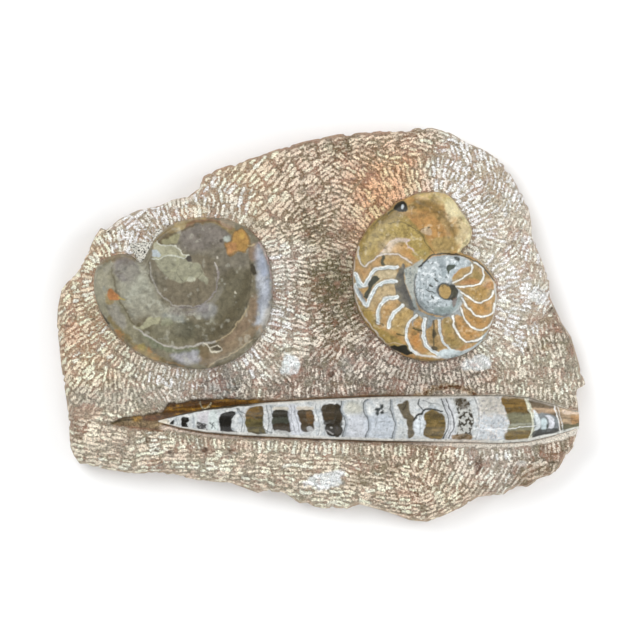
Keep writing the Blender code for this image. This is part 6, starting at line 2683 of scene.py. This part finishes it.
        canvas.area([(79, -48), (84, -48), (87.5, -57), (88, -63), (87, -74), (80, -75), (82.5, -68.5),
            (82.5, -61)], (212, 214, 216), 0.6, 0.9)
        canvas.line([(79, -48.5), (80.5, -53.5), (83, -60), (83, -66.5), (80, -74.5)], 0.7, (58, 62, 66),
            0.3, 0.9)
        canvas.line([(82, -48.5), (84, -55), (87, -61.5), (86.5, -68), (83.5, -74.5)], 0.7, (66, 70, 74),
            0.3, 0.9)
        canvas.line([(80.5, -48.5), (82, -54.5), (85, -61), (84.5, -67.5), (81.5, -74.5)], 0.5,
            (150, 154, 160), 0.3, 0.7)
        spotted = canvas.within([(87, -48), (96, -48), (100, -62), (99, -68), (98, -75), (86.5, -75),
            (89, -71), (90, -63), (89, -56)], 0.4)
        canvas.wash((200, 200, 194), spotted)
        slanted = canvas.points @ np.array([[0.9, -0.5], [0.5, 0.7]])
        blots = soft_step(mottle(slanted, 1.2, 330, 3), -0.1, 0.3)
        canvas.wash((72, 64, 54), spotted * blots * 0.95)
        canvas.area([(88, -49), (95, -48.5), (96.5, -53.5), (90.5, -55)], (98, 84, 68), 0.7, 0.6)
        canvas.area([(87, -72), (98, -72), (98, -75.5), (86.5, -75.5)], (146, 108, 58), 0.7, 0.75)
        canvas.line([(100.5, -47.5), (102.5, -54.5), (103.5, -63.5), (102.5, -72), (101, -76.5)], 0.5,
            (120, 122, 124), 0.3, 0.8)
        canvas.line([(101.5, -47.5), (104, -54.5), (104.5, -63.5), (103.5, -72), (102, -76.5)], 0.9,
            (240, 240, 238), 0.3, 0.95)
        canvas.area([(104, -48), (117, -48), (120, -55), (122, -60), (106, -61)], (206, 201, 191), 1.6,
            0.9)
        canvas.area([(105, -60), (122, -60), (123, -68), (122, -76), (104, -76)], (206, 212, 217), 2.4,
            0.8)
        canvas.clouds((226, 216, 206), 1.6, 0.1, 0.7, 0.6, 6, canvas.within([(104, -48), (120, -48),
            (123, -67.5), (122, -76), (104, -76)], 0.8))
        canvas.clouds((150, 152, 160), 1.6, 0.45, 0.9, 0.6, 7, canvas.within([(104, -48), (120, -48),
            (123, -67.5), (122, -76), (104, -76)], 0.8))
        canvas.area([(118.5, -47.5), (134, -47.5), (136, -56), (138.5, -62.5), (137.5, -70.5), (136, -75),
            (121.5, -76), (123, -68.5), (123, -62), (121, -56)], (142, 106, 42), 0.4)
        canvas.clouds((126, 92, 40), 2.2, 0.2, 0.8, 0.7, 8, canvas.within([(119.5, -48), (133.5, -48),
            (137, -59), (123, -59)], 0.6))
        canvas.area([(122, -58.5), (137, -58), (139, -63), (138, -69), (123, -70), (124, -64.5)],
            (150, 152, 126), 0.9, 0.85)
        # Painted highlight: a pale line along the lower side
        canvas.line([(123, -66), (130, -65.5), (138.5, -65)], 1.4, (186, 188, 172), 0.7, 0.8)
        canvas.area([(122.5, -70), (137.5, -70), (136, -75), (121.5, -76)], (134, 110, 56), 0.8, 0.9)
        canvas.area([(133.5, -47.5), (136, -48), (139.5, -57), (141.5, -64), (140.5, -70.5),
            (138.5, -74.5), (136, -75), (138, -69.5), (138.5, -62.5), (136, -56)], (226, 226, 204), 0.35,
            0.98)
        canvas.line([(135, -48), (140, -63), (139, -70.5), (137, -74.5)], 0.5, (156, 164, 156), 0.3, 0.8)
        canvas.area([(137, -48.5), (152, -50.5), (154, -56), (156, -62), (156, -71), (152, -72.5),
            (139, -74.5), (141.5, -69.5), (141.5, -62.5), (139, -56)], (124, 104, 82), 0.5, 0.95)
        canvas.area([(139, -55), (153, -55), (153.5, -58), (140, -58)], (206, 176, 148), 0.9, 0.8)
        canvas.area([(141.5, -58), (154.5, -60.5), (155.5, -68.5), (141, -69)], (148, 156, 160), 0.8, 0.9)
        # Painted highlights: the white-blue patches on the lower side
        canvas.area([(139, -56), (142, -57.5), (144, -62.5), (143.5, -67.5), (140.5, -70), (141, -64.5),
            (140, -59)], (222, 230, 232), 0.5, 0.9)
        canvas.area([(144.5, -62), (147, -61), (148.5, -64.5), (147, -70), (144.5, -69.5)],
            (206, 222, 226), 0.5, 0.9)
        canvas.area([(147, -59.5), (151, -60), (153.5, -64), (152, -69), (148.5, -70), (150, -65.5),
            (149.5, -62)], (226, 228, 234), 0.5, 0.95)
        canvas.spot((148.9, -66.6), (1.1, 1.5), (92, 100, 96), 0, 0.5, 0.9)
        canvas.area([(141, -69), (156, -68.5), (156, -72), (139.5, -74)], (84, 88, 86), 0.6, 0.9)
        canvas.area([(152.5, -51.5), (159.5, -52.5), (168, -57), (170.5, -61), (170.5, -65.5), (168, -68),
            (158, -71), (156.5, -64.5), (155, -57)], (192, 164, 132), 0.5, 0.95)
        canvas.area([(159, -56), (169, -57.5), (170, -59.5), (159, -58)], (234, 212, 192), 0.6, 0.9)
        canvas.area([(163.5, -60), (169, -60.5), (170, -64.5), (166, -66)], (204, 156, 108), 0.8, 0.9)
        canvas.area([(158, -66), (170, -65), (169, -68), (159, -71)], (116, 116, 92), 0.6, 0.9)
        self._wall_lines(canvas, [(153, -52), (154.5, -59), (156.5, -65.5), (157, -71)],
            [(0, 0.7, (238, 238, 234), 0.98), (2, 0.6, (224, 224, 220), 0.95),
             (1, 0.5, (110, 100, 92), 0.7)])
        # Painted highlight: a thin white line along the lower side
        canvas.line([(103.5, -68.5), (123, -68), (142, -66)], 0.55, (240, 242, 242), 0.3, 0.85)

    @staticmethod
    def _paint_shell(canvas: Canvas) -> None:
        """The white shell along both long edges, with a thin dark seam outside it.

        Args:
            canvas: The fossil's colours.
        """
        x = canvas.points[:, 0]
        half = cone_half_widths(x)[0]
        off = canvas.points[:, 1] - cone_centre_y(x)
        inward = half - np.abs(off)
        body = soft_step(x, CONE_TIP_X + 2, CONE_TIP_X + 12) * soft_step(x, 166, 150)
        ragged = 0.4 * mottle(canvas.points, 5, 340, 3)
        inward = inward / np.clip(half / 9, 0.35, 1)
        upper = (off > 0) * (0.35 + 0.65 * soft_step(x, 104, 90))
        edge = np.where(off > 0, upper * soft_step(inward + ragged, 1.7, 0.8),
                        soft_step(inward + ragged, 2.1, 1.2))
        canvas.wash((220, 219, 213), 0.95 * body * edge)
        canvas.wash((178, 168, 152), 0.6 * body * soft_step(inward, 0.7, 0.2))
        seam = body * soft_step(x, -36, -50) * (off > 0) * soft_step(inward + ragged, 1.5, 0.9)
        canvas.wash((72, 54, 32), 0.9 * seam)
        lower = soft_step(x, 60, 120) * (off < 0)
        lower = 0.8 * lower * soft_step(inward + ragged, 2.4, 1.0)
        canvas.wash((226, 227, 220), lower)
        canvas.wash((230, 212, 196), lower * soft_step(x, 112, 98))


# The room

@dataclass
class Studio:
    """A plain pale floor, soft light and a camera that looks straight down."""

    camera_height: float = 3540.0
    camera_place: Place = (-0.86, 3.2)
    lens: float = 300.0
    floor_size: float = 6.0
    world_strength: float = 0.46

    def build(self) -> None:
        """Make the floor, the lights and the camera."""
        bpy.context.scene.view_settings.view_transform = "Standard"
        self._floor()
        self._light("key", (-900, 950, 1500), 1300, 24)
        self._light("fill", (1300, 150, 1000), 1100, 12)
        self._light("front", (150, -1500, 1000), 1200, 12)
        world = bpy.data.worlds.new("studio")
        world.use_nodes = True
        background = world.node_tree.nodes["Background"]
        background.inputs["Color"].default_value = (0.97, 0.985, 1.0, 1)
        background.inputs["Strength"].default_value = self.world_strength
        bpy.context.scene.world = world
        self._camera()

    def _floor(self) -> None:
        """The pale floor that the slab lies on."""
        bpy.ops.object.select_all(action="DESELECT")
        bpy.ops.mesh.primitive_plane_add(size=self.floor_size, location=(0, 0, -0.0005))
        floor = bpy.context.object
        floor.name = "floor"
        bpy.ops.object.transform_apply(location=True, rotation=False, scale=False)
        graph = Graph("pale_floor")
        colour = graph.mix(graph.noise(60, 2), (249, 249, 249), (252, 252, 252))
        floor.data.materials.append(graph.dress(Base_Color=colour, Roughness=0.9))
        floor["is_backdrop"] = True

    @staticmethod
    def _light(name: str, place: tuple[float, float, float], size: float, power: float) -> None:
        """One soft square light that points at the slab.

        Args:
            name: Its name.
            place: Where it stands.
            size: The length of its side.
            power: Its power.
        """
        data = bpy.data.lights.new(name, "AREA")
        data.energy = power
        data.size = size * MM
        light = bpy.data.objects.new(name, data)
        light.location = Vector(place) * MM
        light.rotation_euler = (-Vector(place)).to_track_quat("-Z", "Y").to_euler()
        bpy.context.scene.collection.objects.link(light)

    def _camera(self) -> None:
        """The camera, straight above."""
        data = bpy.data.cameras.new("camera")
        data.lens = self.lens
        data.sensor_width = 36
        camera = bpy.data.objects.new("camera", data)
        camera.location = Vector((*self.camera_place, self.camera_height)) * MM
        bpy.context.scene.collection.objects.link(camera)
        bpy.context.scene.camera = camera


def settle(made: bpy.types.Object, node: str) -> None:
    """Let a finished piece stand for its node and ride on the plate.

    Args:
        made: The piece.
        node: The node that it stands for.
    """
    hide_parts(node)
    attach(made, "root")


def write_sizes(before: object) -> None:
    """Work out the box of the solids and that of the dressed plate, as plain lists, which are not kept.

    Args:
        before: The box of the solids.
    """
    boxes = {"cad": before, "visual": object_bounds()}
    plain = {name: [[float(part) for part in corner] for corner in box]
             for name, box in boxes.items()}


def main() -> None:
    """Build and dress the slab and the fossils, and set up the room."""
    logging.basicConfig(level=logging.INFO, format="%(name)s: %(message)s")
    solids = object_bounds()
    Studio().build()
    settle(Slab().build(), "matrix_plate")
    settle(Goniatite().build(), "goniatite")
    settle(Ammonite().build(), "ammonite")
    settle(Orthoceras().build(), "orthoceras")
    write_sizes(solids)


if __name__ == "__main__":
    main()
